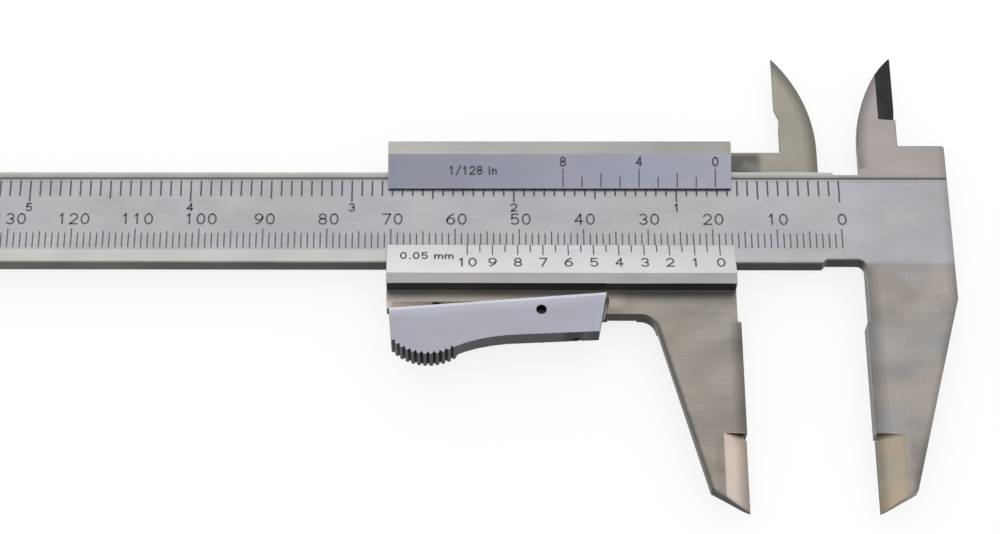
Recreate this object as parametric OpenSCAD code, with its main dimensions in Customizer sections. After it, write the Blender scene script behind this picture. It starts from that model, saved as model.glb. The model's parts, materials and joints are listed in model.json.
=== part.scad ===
// Left-handed sliding caliper, 150 mm, with a thumb-lever brake.
// X runs along the beam, Y across it towards the inside jaws, Z out of the graduated face.
// The origin lies on the fixed outside measuring face, at mid height and mid thickness.
// The modules draw in beam coordinates: Y = 0 on the beam's centre line, Z = 0 on its back.

/* [Beam] */
// Width of the beam
beam_w = 15.8; // [14:0.2:18]
// Thickness of the beam and of the outside jaws
beam_t = 3; // [2.8:0.1:3.6]
// Distance from the fixed measuring face to the far end of the beam
beam_reach = 214.8; // [212:0.2:230]
// Width of the head, from the measuring face to its right edge
head_w = 14.15; // [13.5:0.05:17]
// Height of the head block above the upper edge of the beam
head_block_h = 4.75; // [4:0.05:6]
// Size of the corner cut on the head block
head_corner = 0.3; // [0.2:0.1:1.5]
// Ground-away depth of the beam's lower edge beside the head
lower_relief = 0.6; // [0.3:0.1:0.9]
// Length of the ground-away lower edge
lower_relief_len = 5.7; // [4:0.1:8]
// Ground-away depth of the beam's upper edge beside the head
upper_relief = 0.45; // [0.2:0.05:0.8]
// Length of the ground-away upper edge
upper_relief_len = 3.6; // [2.5:0.1:6]
// Width of the line cut along the top of the scale
scale_line_w = 0.25; // [0.15:0.05:0.4]
// Depth of the line cut along the top of the scale
scale_line_d = 0.12; // [0.05:0.01:0.2]
// Distance of that line from the upper edge of the beam
scale_line_in = 1.05; // [0.8:0.05:1.6]

/* [Outside jaws] */
// Opening between the measuring faces at rest
opening = 19.1; // [15:0.1:24]
// Reach of the outside jaws below the beam
jaw_reach = 41; // [38:0.5:44]
// Width of a jaw at the shoulder of its tip
jaw_tip_w = 5.66; // [5:0.02:6.5]
// Height of the sloping tip edge
jaw_tip_h = 3.35; // [2.5:0.05:4]
// Widening of a jaw for each millimetre of height
jaw_flare = 0.27; // [0.25:0.01:0.29]
// Depth of the relief above the measuring face
jaw_relief = 0.55; // [0.3:0.05:0.8]
// Height of that relief below the beam
jaw_relief_h = 10.1; // [9.8:0.1:11]
// Width of the bevel along the back of a jaw's outer edges
jaw_bevel_w = 0.55; // [0.3:0.05:0.8]
// Depth of that bevel
jaw_bevel_d = 1; // [0.6:0.1:1.2]
// Length of the knife-edged part of a jaw
knife_len = 12.4; // [10:0.1:14]
// Width of the ground bevel of the fixed jaw's knife edge
fixed_knife_w = 4.3; // [3.5:0.1:4.8]
// Width of the ground bevel of the moving jaw's knife edge
moving_knife_w = 3.5; // [3:0.1:4.5]
// Thickness of the knife edge
knife_edge_t = 0.36; // [0.2:0.02:0.6]
// Depth of the notch that parts the flat face from the knife edge
notch_d = 0.5; // [0.3:0.1:0.9]
// Height of that notch
notch_h = 0.5; // [0.4:0.1:1.2]

/* [Inside jaws] */
// Reach of the inside jaws above the beam
inside_reach = 21.5; // [19:0.5:24]
// Distance from the outside to the inside measuring plane of the fixed jaws
inside_offset = 7; // [6.4:0.1:7.6]
// Width of an inside jaw at its root
inside_root_w = 6.45; // [6:0.05:7]
// Radius of the curved back of an inside jaw
inside_back_r = 26; // [25.6:0.2:30]
// Height of the straight root above the beam
inside_root_h = 4.6; // [3:0.1:5]
// Length of the straight measuring edge
inside_edge_len = 9.4; // [8:0.1:11]
// Depth of the step below the measuring edge of the fixed inside jaw
fixed_step = 0.1; // [0.05:0.05:0.9]
// Depth of that step on the moving inside jaw
moving_step = 0.75; // [0.3:0.05:0.9]
// Width of the ground bevel of an inside jaw
inside_bevel_w = 2.8; // [1.5:0.1:3]
// Length of that bevel past the step
inside_bevel_past = 1; // [0.5:0.1:1.5]
// Thickness left at an inside measuring edge
inside_edge_t = 0.16; // [0.1:0.02:0.4]
// Gap between the front and the back inside jaw
inside_gap = 0.1; // [0.06:0.02:0.2]

/* [Slider] */
// Length of the slider
slider_len = 53.75; // [53:0.05:54.4]
// Height of the slider below the beam's centre line
slider_low = 16.85; // [16.5:0.05:17.3]
// Height of the slider above the beam's centre line
slider_high = 12; // [11.9:0.1:12.8]
// Thickness of the wall behind the beam
back_wall_t = 1.5; // [1.3:0.1:2]
// Running clearance along each edge of the beam
edge_clear = 0.05; // [0.03:0.01:0.09]
// Running clearance at the front and back of the beam
face_clear = 0.1; // [0.05:0.01:0.12]
// Radius where the moving jaw meets the slider
jaw_fillet_r = 2.4; // [1:0.1:4]
// Distance of the back wall's lower edge from the slider's lower edge
back_wall_in = 1; // [0.8:0.1:1.4]
// Width of the bevel along the back of the slider's lower edge
low_bevel_w = 0.65; // [0.3:0.05:0.8]
// Depth of that bevel
low_bevel_d = 1.2; // [0.6:0.1:1.4]
// Width of the corner cut away beside the lever's thumb end
corner_cut = 0.8; // [0.5:0.1:1.2]

/* [Vernier plates] */
// Height of both plates above the beam's face
plate_h = 2.7; // [2.4:0.1:3.2]
// Distance from the centre line to the foot of the inch bevel
inch_foot = 4.7; // [4.6:0.05:5.4]
// Width of the flat top of the inch plate
inch_flat = 2.35; // [2:0.05:3]
// Distance from the centre line to the foot of the millimetre bevel
mm_foot = 5.2; // [4.8:0.05:5.5]
// Distance from the centre line to the outer edge of the millimetre plate
mm_edge = 12.9; // [12.5:0.1:13.2]
// Width of the flat top of the millimetre plate
mm_flat = 1.75; // [1.4:0.05:2.3]
// Thickness of the bevel's thin foot
foot_t = 0.4; // [0.2:0.05:0.5]

/* [Gib] */
// Thickness of the gib strip
gib_t = 1; // [0.8:0.05:1.2]
// Distance of the gib strip's ends from the slider's ends
gib_inset = 0.5; // [0.3:0.1:2]
// Diameter of the gib screws
gib_screw_d = 2; // [1.6:0.1:2.2]
// Distance of the gib screws from the slider's ends
gib_screw_inset = 16; // [14:0.5:20]

/* [Plate screws] */
// Diameter of the screws that hold the vernier plates
plate_screw_d = 1.6; // [1.4:0.1:1.7]
// Diameter of their countersunk heads
plate_head_d = 2.6; // [2.4:0.1:2.9]
// Depth of these screws in a vernier plate
plate_screw_grip = 1.7; // [1.2:0.1:1.9]
// Distance of the inch plate screws from the slider's ends
inch_screw_inset = 8; // [6:0.5:12]
// Distance of the inch plate screws from the centre line
inch_screw_y = 10.6; // [10.4:0.1:10.8]
// Distance of the millimetre plate screws from the centre line
mm_screw_y = 10.6; // [10.4:0.1:10.9]
// Distance of the outer millimetre plate screws from the slider's ends
mm_screw_inset = 4.5; // [3.5:0.1:5.5]
// Distance of the middle millimetre plate screw from the lever's pivot
mm_screw_mid = 5.5; // [5:0.1:6.5]

/* [Depth bar] */
// Width of the depth bar
bar_w = 3; // [2.4:0.1:3.6]
// Thickness of the depth bar
bar_t = 1.15; // [1:0.05:1.3]
// Clearance round the depth bar in its groove
bar_clear = 0.1; // [0.06:0.01:0.15]
// Length of the depth bar inside the slider
bar_root = 33; // [28:0.5:36]
// Diameter of the screws that hold the depth bar
bar_screw_d = 1.4; // [1.2:0.1:1.5]
// Diameter of their heads
bar_head_d = 2.3; // [2.2:0.1:2.6]
// Distance of the first of these screws from the end of the bar
bar_screw_inset = 3; // [2.5:0.1:5]
// Spacing of these screws
bar_screw_pitch = 6; // [4:0.5:10]
// Size of the notch in the depth bar's tip
bar_notch = 1; // [0.6:0.1:1.4]

/* [End stop] */
// Length of the end stop plate
stop_len = 8; // [6:0.1:8.3]
// Width of the end stop plate
stop_w = 13.6; // [12:0.1:13.8]
// Distance of the plate from the end of the beam
stop_inset = 1.2; // [0.5:0.1:1.4]
// Diameter of the screws that hold the plate
stop_screw_d = 2; // [1.6:0.1:2.2]
// Diameter of their heads
stop_head_d = 3.4; // [3:0.1:3.6]
// Spacing of these screws across the beam
stop_screw_pitch = 8.4; // [7.6:0.1:9]
// Depth of these screws in the beam
stop_screw_grip = 1.8; // [1.2:0.1:2]

/* [Thumb lever] */
// Distance from the slider's left end to the lever's pivot
pivot_x = 23.76; // [23.3:0.02:24.2]
// Distance of the pivot below the centre line
pivot_y = 17.23; // [17.1:0.01:17.4]
// Angle of the lever at rest
lever_tilt = 4.65; // [4.4:0.05:4.9]
// Length of the thumb arm from the pivot
thumb_arm = 23.2; // [22:0.1:23.4]
// Length of the brake arm from the pivot
brake_arm = 10.25; // [9:0.05:10.4]
// Height of the lever above the pivot
lever_top = 2.19; // [2.1:0.01:2.25]
// Height of the lever below the pivot, at the middle
lever_waist = 3.9; // [3.5:0.1:4.5]
// Height of the lever below the pivot, at the right end
lever_heel = 4.35; // [4.2:0.05:5]
// Thickness of the lever
lever_t = 4.5; // [4.3:0.1:4.7]
// Height of the lever's face above the beam's face
lever_face = 2.4; // [2.3:0.1:2.7]
// Depth of the step along the lower back edge of the lever
lever_rebate = 1.2; // [0.6:0.1:1.6]
// Width of the bevel along the lever's upper and right edges
rim_w = 0.5; // [0.2:0.05:0.7]
// Depth of that bevel
rim_d = 0.18; // [0.08:0.01:0.3]
// Radius of the thumb pad
thumb_r = 7.7; // [7:0.1:8.4]
// Distance of the thumb pad's centre from the pivot
thumb_x = 17.2; // [16.8:0.1:17.6]
// Depth of the thumb pad below the pivot
thumb_low = 6.1; // [5.8:0.1:6.5]
// Number of serrations on the thumb pad
serrations = 11; // [8:1:13]
// Depth of a serration
serration_d = 0.45; // [0.2:0.05:0.5]
// Width of a serration at the surface
serration_w = 0.56; // [0.4:0.02:0.7]
// Diameter of the lever pin
pin_d = 1.5; // [1.3:0.05:1.8]
// Radial clearance of the pin in the lever
pin_clear = 0.04; // [0.02:0.01:0.08]
// Depth of the pin's end below the lever's face
pin_sunk = 1.2; // [0.6:0.1:2]
// Radius of the lug that holds the pin
lug_r = 2.4; // [2:0.1:2.7]
// Thickness of the washer on the pin
washer_t = 0.2; // [0.15:0.05:0.3]

/* [Brake] */
// Length of the brake shoe
shoe_len = 8; // [6:0.1:9]
// Height of the brake shoe
shoe_h = 1.3; // [1:0.1:1.5]
// Travel of the shoe away from the beam
shoe_travel = 0.4; // [0.39:0.01:0.5]
// Diameter of the brake plunger
plunger_d = 1.6; // [1.3:0.1:1.7]
// Distance of the adjusting screw from the pivot
adjuster_x = 5; // [4.8:0.05:5.1]
// Diameter of the adjusting screw
adjuster_d = 1.6; // [1.4:0.1:1.7]
// Length of the adjusting screw
adjuster_len = 5; // [4:0.1:5.2]
// Height of the adjusting screw's tip above the lever
adjuster_out = 0.15; // [0.12:0.01:0.18]
// Running clearance of the plunger and the shoe
brake_clear = 0.04; // [0.02:0.01:0.06]
// Height of the plunger's axis above the beam's back
plunger_z = 1.7; // [1.6:0.05:1.75]
// Height of the adjusting screw's axis above the plunger's
adjuster_rise = 0.75; // [0.6:0.05:0.8]
// Wall round the adjusting screw's bore below the lever's step
adjuster_wall = 0.3; // [0.2:0.05:0.4]

/* [Lever spring] */
// Distance of the spring from the pivot
spring_x = 16; // [14:0.5:17]
// Mean radius of the coil
spring_r = 0.62; // [0.55:0.01:0.64]
// Diameter of the spring's wire
wire_d = 0.28; // [0.24:0.02:0.3]
// Number of curls
curls = 6; // [4:1:6]
// Depth of the spring's bore in the slider
spring_bore_h = 3.4; // [3:0.1:3.8]

/* [Hidden] */
$fn = 64;

// How far a cut passes the surface it opens
over = 1;
// How far two shapes of one piece run into each other
weld = 0.01;
// Radial room of a screw in its hole
thread_clear = 0.02;
// Height of a countersunk head, as a part of the difference of its diameters
head_slope = 0.5;
// Width and depth of a screwdriver slot, as parts of the screw's diameter
slot_w_share = 0.25;
slot_d_share = 0.22;
// Points along a rounded corner
arc_steps = 8;

// Beam
half_w = beam_w / 2;
relief_slope = 0.3;
root_r = 1.2;
end_cut = 0.5;
head_top_full = half_w - upper_relief;
head_top = half_w + head_block_h;

// Outside jaws, as depths below the centre line
tip_y = half_w + jaw_reach;
shoulder_y = tip_y - jaw_tip_h;
face_top_y = half_w + jaw_relief_h;
knife_y = tip_y - knife_len;
face_mid_y = (face_top_y + knife_y) / 2;
tip_round = 0.3;
face_break = 0.2;

// Inside jaws
inside_t = (beam_t - inside_gap) / 2;
inside_tip_y = half_w + inside_reach;
inside_edge_y = inside_tip_y - inside_edge_len;
inside_arc_y = half_w + inside_root_h;
inside_step_h = 1.6;
head_overlap = 0.2;
moving_back_x = inside_offset - opening + inside_root_w;

// Slider
slider_right = -(opening + jaw_relief);
slider_left = slider_right - slider_len;
back_z = -face_clear - back_wall_t;
slot_low = half_w + edge_clear;
slot_high = half_w + 2 * edge_clear + gib_t;
arm_low = half_w + 2 * edge_clear;
arm_step = 0.35;
arm_high = head_top - arm_step;
moving_root_w = jaw_tip_w + jaw_flare * (shoulder_y - slider_low);
low_bevel_end = -opening - moving_root_w - jaw_fillet_r;

// Vernier plates
plate_z = beam_t + plate_h;
foot_gap = 0.15;
foot_z = beam_t + foot_gap;

// Gib
gib_side = 0.1;
gib_dimple_d = 1.2;
gib_dimple_h = 0.4;
gib_low = half_w + edge_clear;
gib_screw_sunk = 0.1;
gib_screw_x = [slider_left + gib_screw_inset, slider_right - gib_screw_inset];

// Depth bar
bar_low = -face_clear;
groove_d = bar_low + bar_t + bar_clear;
groove_w = bar_w + 2 * bar_clear;
bar_right = slider_left + bar_root;
bar_left = -beam_reach - opening;
groove_right = bar_right + opening + over;
bar_screw_grip = 0.9;
bar_screw_x = [bar_right - bar_screw_inset, bar_right - bar_screw_inset - bar_screw_pitch];

// End stop
stop_left = -beam_reach + stop_inset;
stop_x = stop_left + stop_len / 2;
stop_channel = face_clear + bar_clear;

// Lever
pivot = [slider_left + pivot_x, -pivot_y];
lever_front = beam_t + lever_face;
lever_back = lever_front - lever_t;
washer_gap = 0.02;
seat_z = lever_back - washer_t - 2 * washer_gap;
seat_gap = 0.25;
seat_left_y = -pivot_y + lever_top + seat_gap;
seat_end_gap = 0.13;
seat_right_x = pivot[0] + brake_arm + seat_end_gap;
seat_right_y = seat_left_y + (brake_arm + seat_end_gap) * sin(lever_tilt);
heel_slope = 1.8;
heel_lean = heel_slope / (lever_top + lever_heel);
washer_rim = 0.9;
washer_r = pin_d / 2 + washer_rim;
waist_x = 5.5;
waist_drop = 0.1;
bend_x = 10.6;
thumb_cy = thumb_r - thumb_low;
// Angles on the thumb pad where it meets the lever's left end and its waist
pad_start = acos((thumb_arm - thumb_x) / thumb_r);
pad_end = 28;
serration_pitch = (90 + pad_end - pad_start) / serrations;

// Places of the screws that hold the vernier plates
inch_screw_at = [
    [slider_left + inch_screw_inset, inch_screw_y],
    [slider_right - inch_screw_inset, inch_screw_y]
];
mm_screw_at = [
    [slider_left + mm_screw_inset, -mm_screw_y],
    [pivot[0] - mm_screw_mid, -mm_screw_y],
    [slider_right - mm_screw_inset, -mm_screw_y]
];
plate_screw_len = beam_t + plate_screw_grip - back_z;

// Brake
adjuster_tip_share = 0.9;
adjuster_tip = lever_top + adjuster_out;
plunger_x = pivot[0] + adjuster_x * cos(lever_tilt) - adjuster_tip * sin(lever_tilt);
plunger_end = -pivot_y + adjuster_x * sin(lever_tilt) + adjuster_tip * cos(lever_tilt) + brake_clear;
shoe_gap = 0.02;
shoe_top = -half_w - shoe_gap;
shoe_low = shoe_top - shoe_h;
pocket_low = shoe_low - shoe_travel - brake_clear;
shoe_side = 0.1;
adjuster_z = plunger_z + adjuster_rise;

// Lever spring
spring_cx = pivot[0] - spring_x;
spring_z = plunger_z;
spring_room = 0.12;
spring_bore_r = spring_r + wire_d / 2 + spring_room;
spring_gap = 0.02;
spring_top = seat_left_y + spring_bore_h - wire_d / 2 - spring_gap;
lever_edge_y = -pivot_y - spring_x * sin(lever_tilt) + lever_top * cos(lever_tilt);
// The lever's sloping edge rises across the coil by its radius times the slope
spring_low = lever_edge_y + wire_d / 2 + (spring_r + wire_d / 2) * tan(lever_tilt) + 3 * spring_gap;
spring_rise = (spring_top - spring_low) / curls;
rings = 8;
wire_sides = 6;

// Straight distance between neighbouring curls, measured on the tube's centre line
function coil_point(a) = [spring_r * cos(a), spring_low + spring_rise * a / 360, spring_r * sin(a)];
coil_gaps = [for (a = [0:15:360]) for (b = [a + 270:15:a + 450]) norm(coil_point(a) - coil_point(b))];
echo(least_gap_of_the_lever_spring = min(coil_gaps) - wire_d);

function unit(v) = v / norm(v);

// Points of the arc of radius r that rounds the corner b between a and c
function corner(a, b, c, r) =
    r <= 0 ? [b] :
    let (
        u = unit(a - b),
        w = unit(c - b),
        half = acos(u * w) / 2,
        centre = b + unit(u + w) * r / sin(half),
        p = b + u * r / tan(half) - centre,
        q = b + w * r / tan(half) - centre,
        start = atan2(p[1], p[0]),
        turn = (atan2(q[1], q[0]) - start + 540) % 360 - 180
    )
    [for (i = [0:arc_steps]) centre + r * [cos(start + turn * i / arc_steps), sin(start + turn * i / arc_steps)]];

// Closed outline through points [x, y, radius]
function rounded(path) =
    let (n = len(path), xy = [for (p = path) [p[0], p[1]]])
    [for (i = [0:n - 1]) each corner(xy[(i + n - 1) % n], xy[i], xy[(i + 1) % n], path[i][2])];

// Moves a piece from beam coordinates to the origin on the measuring face
module on_beam() {
    translate([0, face_mid_y, -beam_t / 2]) children();
}

// Countersunk screw along +Z with its head's top at 0
module countersunk(d, head_d, grip) {
    head_h = (head_d - d) * head_slope;
    difference() {
        union() {
            cylinder(d1 = head_d, d2 = d, h = head_h);
            cylinder(d = d, h = grip);
        }
        translate([-head_d, -d * slot_w_share / 2, -over])
            cube([2 * head_d, d * slot_w_share, over + d * slot_d_share]);
    }
}

// Hole for that screw
module countersunk_hole(d, head_d, grip) {
    head_h = (head_d - d) * head_slope;
    room = 2 * thread_clear;
    translate([0, 0, -over]) cylinder(d = d + room, h = grip + over + thread_clear);
    cylinder(d1 = head_d + 2 * room, d2 = d, h = head_h + room);
    translate([0, 0, -over]) cylinder(d = head_d + 2 * room, h = over);
}

// Slotted set screw along -Y with its slot at 0 and its tip at -length
module set_screw(d, length, tip_d, tip_h) {
    rotate([90, 0, 0]) difference() {
        union() {
            cylinder(d = d, h = length - tip_h);
            cylinder(d = tip_d, h = length);
        }
        translate([-d, -d * slot_w_share / 2, -over]) cube([2 * d, d * slot_w_share, over + 2 * d * slot_d_share]);
    }
}

// Wedge of width w and depth d under a front edge that runs from a to b, with the piece to its left
module edge_bevel(a, b, w, d) {
    run = b - a;
    translate([a[0], a[1], 0]) rotate([0, 0, atan2(run[1], run[0])]) rotate([90, 0, 90])
        linear_extrude(height = norm(run))
            polygon([[w, 0], [w, over], [-over, over], [-over, -d - over * d / w]]);
}

// The same wedge over a back edge
module back_bevel(a, b, w, d) {
    mirror([0, 0, 1]) edge_bevel(a, b, w, d);
}

// Outline of an outside jaw with its measuring face on x = 0 and its back towards +X
function jaw_points(root_y, root_w, root_corner) = [
    [jaw_relief, -root_y, 0],
    [jaw_relief, -face_top_y, 0],
    [0, -face_top_y - face_break, 0],
    [0, -knife_y, 0],
    [notch_d, -knife_y, 0],
    [notch_d, -knife_y - notch_h, 0],
    [0, -knife_y - notch_h - face_break, 0],
    [0, -tip_y, 0],
    [jaw_tip_w, -shoulder_y, tip_round],
    [root_w, -shoulder_y + (root_w - jaw_tip_w) / jaw_flare, root_corner]
];

// Wedges ground off both sides of an outside jaw to leave the knife edge
module knife_grind(w) {
    depth = (beam_t - knife_edge_t) / 2;
    low = tip_y + over;
    for (side = [0, 1])
        translate([0, -knife_y, side * beam_t]) mirror([0, 0, side]) rotate([90, 0, 0])
            linear_extrude(height = low - knife_y)
                polygon([
                    [-over, -over], [w, -over],
                    [w, 0], [0, depth], [-over, depth]
                ]);
}

// Bevels along the back of an outside jaw's tip and outer edge, which end below the root's fillet
module jaw_back_bevels(root_w) {
    tip = [0, -tip_y];
    shoulder = [jaw_tip_w, -shoulder_y];
    root = [root_w, -shoulder_y + (root_w - jaw_tip_w) / jaw_flare];
    along_tip = unit(shoulder - tip);
    along_side = unit(root - shoulder);
    back_bevel(tip - over * along_tip, shoulder + over * along_tip, jaw_bevel_w, jaw_bevel_d);
    back_bevel(shoulder - over * along_side, root - jaw_fillet_r * along_side, jaw_bevel_w, jaw_bevel_d);
}

// Wedge that thins an inside jaw to its measuring edge, which lies on x = 0 with the jaw towards -X
module inside_grind() {
    depth = inside_t - inside_edge_t;
    rise = depth / inside_bevel_w;
    translate([0, inside_tip_y + over, 0]) rotate([90, 0, 0])
        linear_extrude(height = inside_edge_len + inside_step_h + inside_bevel_past + over)
            polygon([[-inside_bevel_w, 0], [-inside_bevel_w, -over], [over, -over], [over, depth + rise * over]]);
}

// Outline of an inside jaw with its measuring edge on x = 0 and its curved back towards -X
module inside_jaw_outline(foot_y, step) {
    intersection() {
        translate([inside_back_r - inside_root_w, inside_arc_y]) circle(r = inside_back_r, $fn = 256);
        polygon([
            [-inside_root_w, inside_arc_y],
            [-step, inside_arc_y],
            [-step, inside_edge_y - inside_step_h],
            [0, inside_edge_y],
            [0, inside_tip_y],
            [-inside_root_w, inside_tip_y]
        ]);
    }
    translate([-inside_root_w, foot_y])
        square([inside_root_w - step, inside_arc_y - foot_y + weld]);
}

// Beam and head at full thickness, with the fixed outside jaw
module beam_outline() {
    jaw = jaw_points(half_w - lower_relief, head_w, 0);
    polygon(rounded(concat(
        [
            [-beam_reach, half_w, end_cut],
            [-beam_reach, -half_w, end_cut],
            [-lower_relief_len - relief_slope, -half_w, 0],
            [-lower_relief_len + relief_slope, lower_relief - half_w, 0],
            [jaw_relief, lower_relief - half_w, root_r]
        ],
        [for (i = [1:len(jaw) - 1]) jaw[i]],
        [
            [head_w, head_top_full, 0],
            [-upper_relief_len + relief_slope, head_top_full, 0],
            [-upper_relief_len - relief_slope, half_w, 0]
        ]
    )));
}

module main_beam() {
    color([0.72, 0.72, 0.73]) on_beam() difference() {
        union() {
            linear_extrude(height = beam_t) beam_outline();
            translate([0, 0, beam_t - inside_t]) linear_extrude(height = inside_t) {
                translate([inside_offset, 0]) inside_jaw_outline(head_top_full - head_overlap, fixed_step);
                polygon([
                    [inside_offset - inside_root_w, head_top_full - head_overlap],
                    [head_w, head_top_full - head_overlap],
                    [head_w, head_top - head_corner],
                    [head_w - head_corner, head_top],
                    [inside_offset - inside_root_w, head_top]
                ]);
            }
        }
        knife_grind(fixed_knife_w);
        jaw_back_bevels(head_w);
        translate([inside_offset, 0, beam_t]) mirror([0, 0, 1]) inside_grind();
        translate([-beam_reach - over, half_w - scale_line_in - scale_line_w, beam_t - scale_line_d])
            cube([beam_reach + head_w + 2 * over, scale_line_w, over]);
        translate([-beam_reach - over, -groove_w / 2, -over])
            cube([beam_reach + over + groove_right, groove_w, over + groove_d]);
        for (side = [-1, 1])
            translate([stop_x, side * stop_screw_pitch / 2, back_z])
                cylinder(d = stop_screw_d + 2 * thread_clear, h = stop_screw_grip + thread_clear - back_z);
    }
}

module end_stop_plate() {
    color([0.66, 0.66, 0.67]) on_beam() difference() {
        translate([stop_left, -stop_w / 2, back_z]) cube([stop_len, stop_w, -back_z]);
        translate([stop_left - over, -groove_w / 2, -stop_channel])
            cube([stop_len + 2 * over, groove_w, stop_channel + over]);
        for (side = [-1, 1])
            translate([stop_x, side * stop_screw_pitch / 2, back_z])
                countersunk_hole(stop_screw_d, stop_head_d, over - back_z);
    }
}

module end_stop_screws() {
    color([0.3, 0.3, 0.31]) on_beam()
        for (side = [-1, 1])
            translate([stop_x, side * stop_screw_pitch / 2, back_z])
                countersunk(stop_screw_d, stop_head_d, stop_screw_grip - back_z);
}

// Slider and moving outside jaw seen from the front
module slider_outline() {
    jaw = jaw_points(slider_low, moving_root_w, jaw_fillet_r);
    polygon([
        [slider_left, -slider_low], [slider_right, -slider_low],
        [slider_right, slider_high], [slider_left, slider_high]
    ]);
    translate([-opening, 0]) mirror([1, 0]) polygon(rounded(concat(
        [[jaw_relief, over - slider_low, 0]],
        [for (i = [1:len(jaw) - 1]) jaw[i]],
        [
            [moving_root_w + 2 * jaw_fillet_r, -slider_low, 0],
            [moving_root_w + 2 * jaw_fillet_r, over - slider_low, 0]
        ]
    )));
}

// Shape cut in the front of the slider for the lever
module lever_seat() {
    polygon([
        [slider_left - over, seat_left_y],
        [pivot[0], seat_left_y],
        [seat_right_x, seat_right_y],
        [seat_right_x, lever_top - pivot_y],
        [seat_right_x - heel_lean * (lever_top - pivot_y + slider_low + over), -slider_low - over],
        [slider_left - over, -slider_low - over]
    ]);
}

module slider_body() {
    color([0.66, 0.64, 0.62]) on_beam() difference() {
        union() {
            difference() {
                linear_extrude(height = beam_t) slider_outline();
                translate([0, 0, seat_z]) linear_extrude(height = beam_t) lever_seat();
            }
            translate([slider_left, back_wall_in - slider_low, back_z])
                cube([slider_len, slider_low - back_wall_in + slider_high, weld - back_z]);
            translate([pivot[0], pivot[1], back_z]) cylinder(r = lug_r, h = seat_z - back_z);
            translate([pivot[0] - lug_r, pivot[1], back_z])
                cube([2 * lug_r, pivot_y - slot_low, seat_z - back_z]);
            linear_extrude(height = inside_t) {
                translate([inside_offset - opening, 0]) mirror([1, 0]) inside_jaw_outline(arm_low, moving_step);
                translate([slider_right - over, arm_low])
                    square([moving_back_x - slider_right + over, arm_high - arm_low]);
            }
        }
        translate([slider_left - over, -slot_low, -face_clear])
            cube([slider_len + 2 * over, slot_low + arm_low, beam_t + over]);
        translate([slider_left - over, 0, -face_clear])
            cube([slider_len + over, slot_high, beam_t + over]);
        translate([slider_left - over, -slider_low - over, back_z - over])
            cube([over + corner_cut, over + slider_low + seat_left_y, beam_t - back_z + 2 * over]);
        back_bevel(
            [pivot[0] + brake_arm, -slider_low], [low_bevel_end, -slider_low],
            low_bevel_w, low_bevel_d
        );
        translate([-opening, 0, 0]) mirror([1, 0, 0]) {
            knife_grind(moving_knife_w);
            jaw_back_bevels(moving_root_w);
        }
        translate([inside_offset - opening, 0, 0]) mirror([1, 0, 0]) inside_grind();
        for (at = concat(inch_screw_at, mm_screw_at))
            translate([at[0], at[1], back_z]) countersunk_hole(plate_screw_d, plate_head_d, plate_screw_len);
        for (x = bar_screw_x)
            translate([x, 0, back_z]) countersunk_hole(bar_screw_d, bar_head_d, back_wall_t + over);
        for (x = gib_screw_x)
            translate([x, slider_high + over, beam_t / 2]) rotate([90, 0, 0])
                cylinder(d = gib_screw_d + 2 * thread_clear, h = slider_high - half_w + over);
        translate([plunger_x - shoe_len / 2 - brake_clear, pocket_low, -face_clear])
            cube([shoe_len + 2 * brake_clear, -pocket_low - half_w + over, beam_t + over]);
        translate([plunger_x, pocket_low + over, plunger_z]) rotate([90, 0, 0])
            cylinder(d = plunger_d + 2 * brake_clear, h = pocket_low - seat_left_y + 2 * over);
        translate([spring_cx, seat_left_y + spring_bore_h, spring_z]) rotate([90, 0, 0])
            cylinder(r = spring_bore_r, h = spring_bore_h + over);
        translate([pivot[0], pivot[1], back_z - over]) cylinder(d = pin_d, h = seat_z - back_z + 2 * over);
    }
}

// Plate of the profile [y, z] points, as long as the slider
module vernier_plate(profile) {
    translate([slider_right, 0, 0]) rotate([90, 0, -90]) linear_extrude(height = slider_len) polygon(profile);
}

module inch_vernier_plate() {
    color([0.68, 0.69, 0.74]) on_beam() difference() {
        mirror([0, 1, 0]) vernier_plate([
            [slider_high, beam_t], [slider_high, plate_z],
            [slider_high - inch_flat, plate_z],
            [inch_foot, foot_z + foot_t], [inch_foot, foot_z],
            [slot_high, foot_z], [slot_high, beam_t]
        ]);
        for (at = inch_screw_at)
            translate([at[0], at[1], 0])
                cylinder(d = plate_screw_d + 2 * thread_clear, h = beam_t + plate_screw_grip + thread_clear);
    }
}

module mm_vernier_plate() {
    color([0.8, 0.8, 0.79]) on_beam() difference() {
        vernier_plate([
            [mm_edge, beam_t], [mm_edge, plate_z],
            [mm_edge - mm_flat, plate_z],
            [mm_foot, foot_z + foot_t], [mm_foot, foot_z],
            [slot_low, foot_z], [slot_low, beam_t]
        ]);
        for (at = mm_screw_at)
            translate([at[0], at[1], 0])
                cylinder(d = plate_screw_d + 2 * thread_clear, h = beam_t + plate_screw_grip + thread_clear);
    }
}

module inch_plate_screws() {
    color([0.3, 0.3, 0.31]) on_beam()
        for (at = inch_screw_at)
            translate([at[0], at[1], back_z]) countersunk(plate_screw_d, plate_head_d, plate_screw_len);
}

module mm_plate_screws() {
    color([0.3, 0.3, 0.31]) on_beam()
        for (at = mm_screw_at)
            translate([at[0], at[1], back_z]) countersunk(plate_screw_d, plate_head_d, plate_screw_len);
}

module gib_strip() {
    color([0.75, 0.6, 0.3]) on_beam() difference() {
        translate([slider_left + gib_inset, gib_low, gib_side])
            cube([slider_len - 2 * gib_inset, gib_t, beam_t - 2 * gib_side]);
        for (x = gib_screw_x)
            translate([x, gib_low + gib_t + over, beam_t / 2]) rotate([90, 0, 0])
                cylinder(d = gib_dimple_d + 2 * thread_clear, h = gib_dimple_h + over);
    }
}

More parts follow.
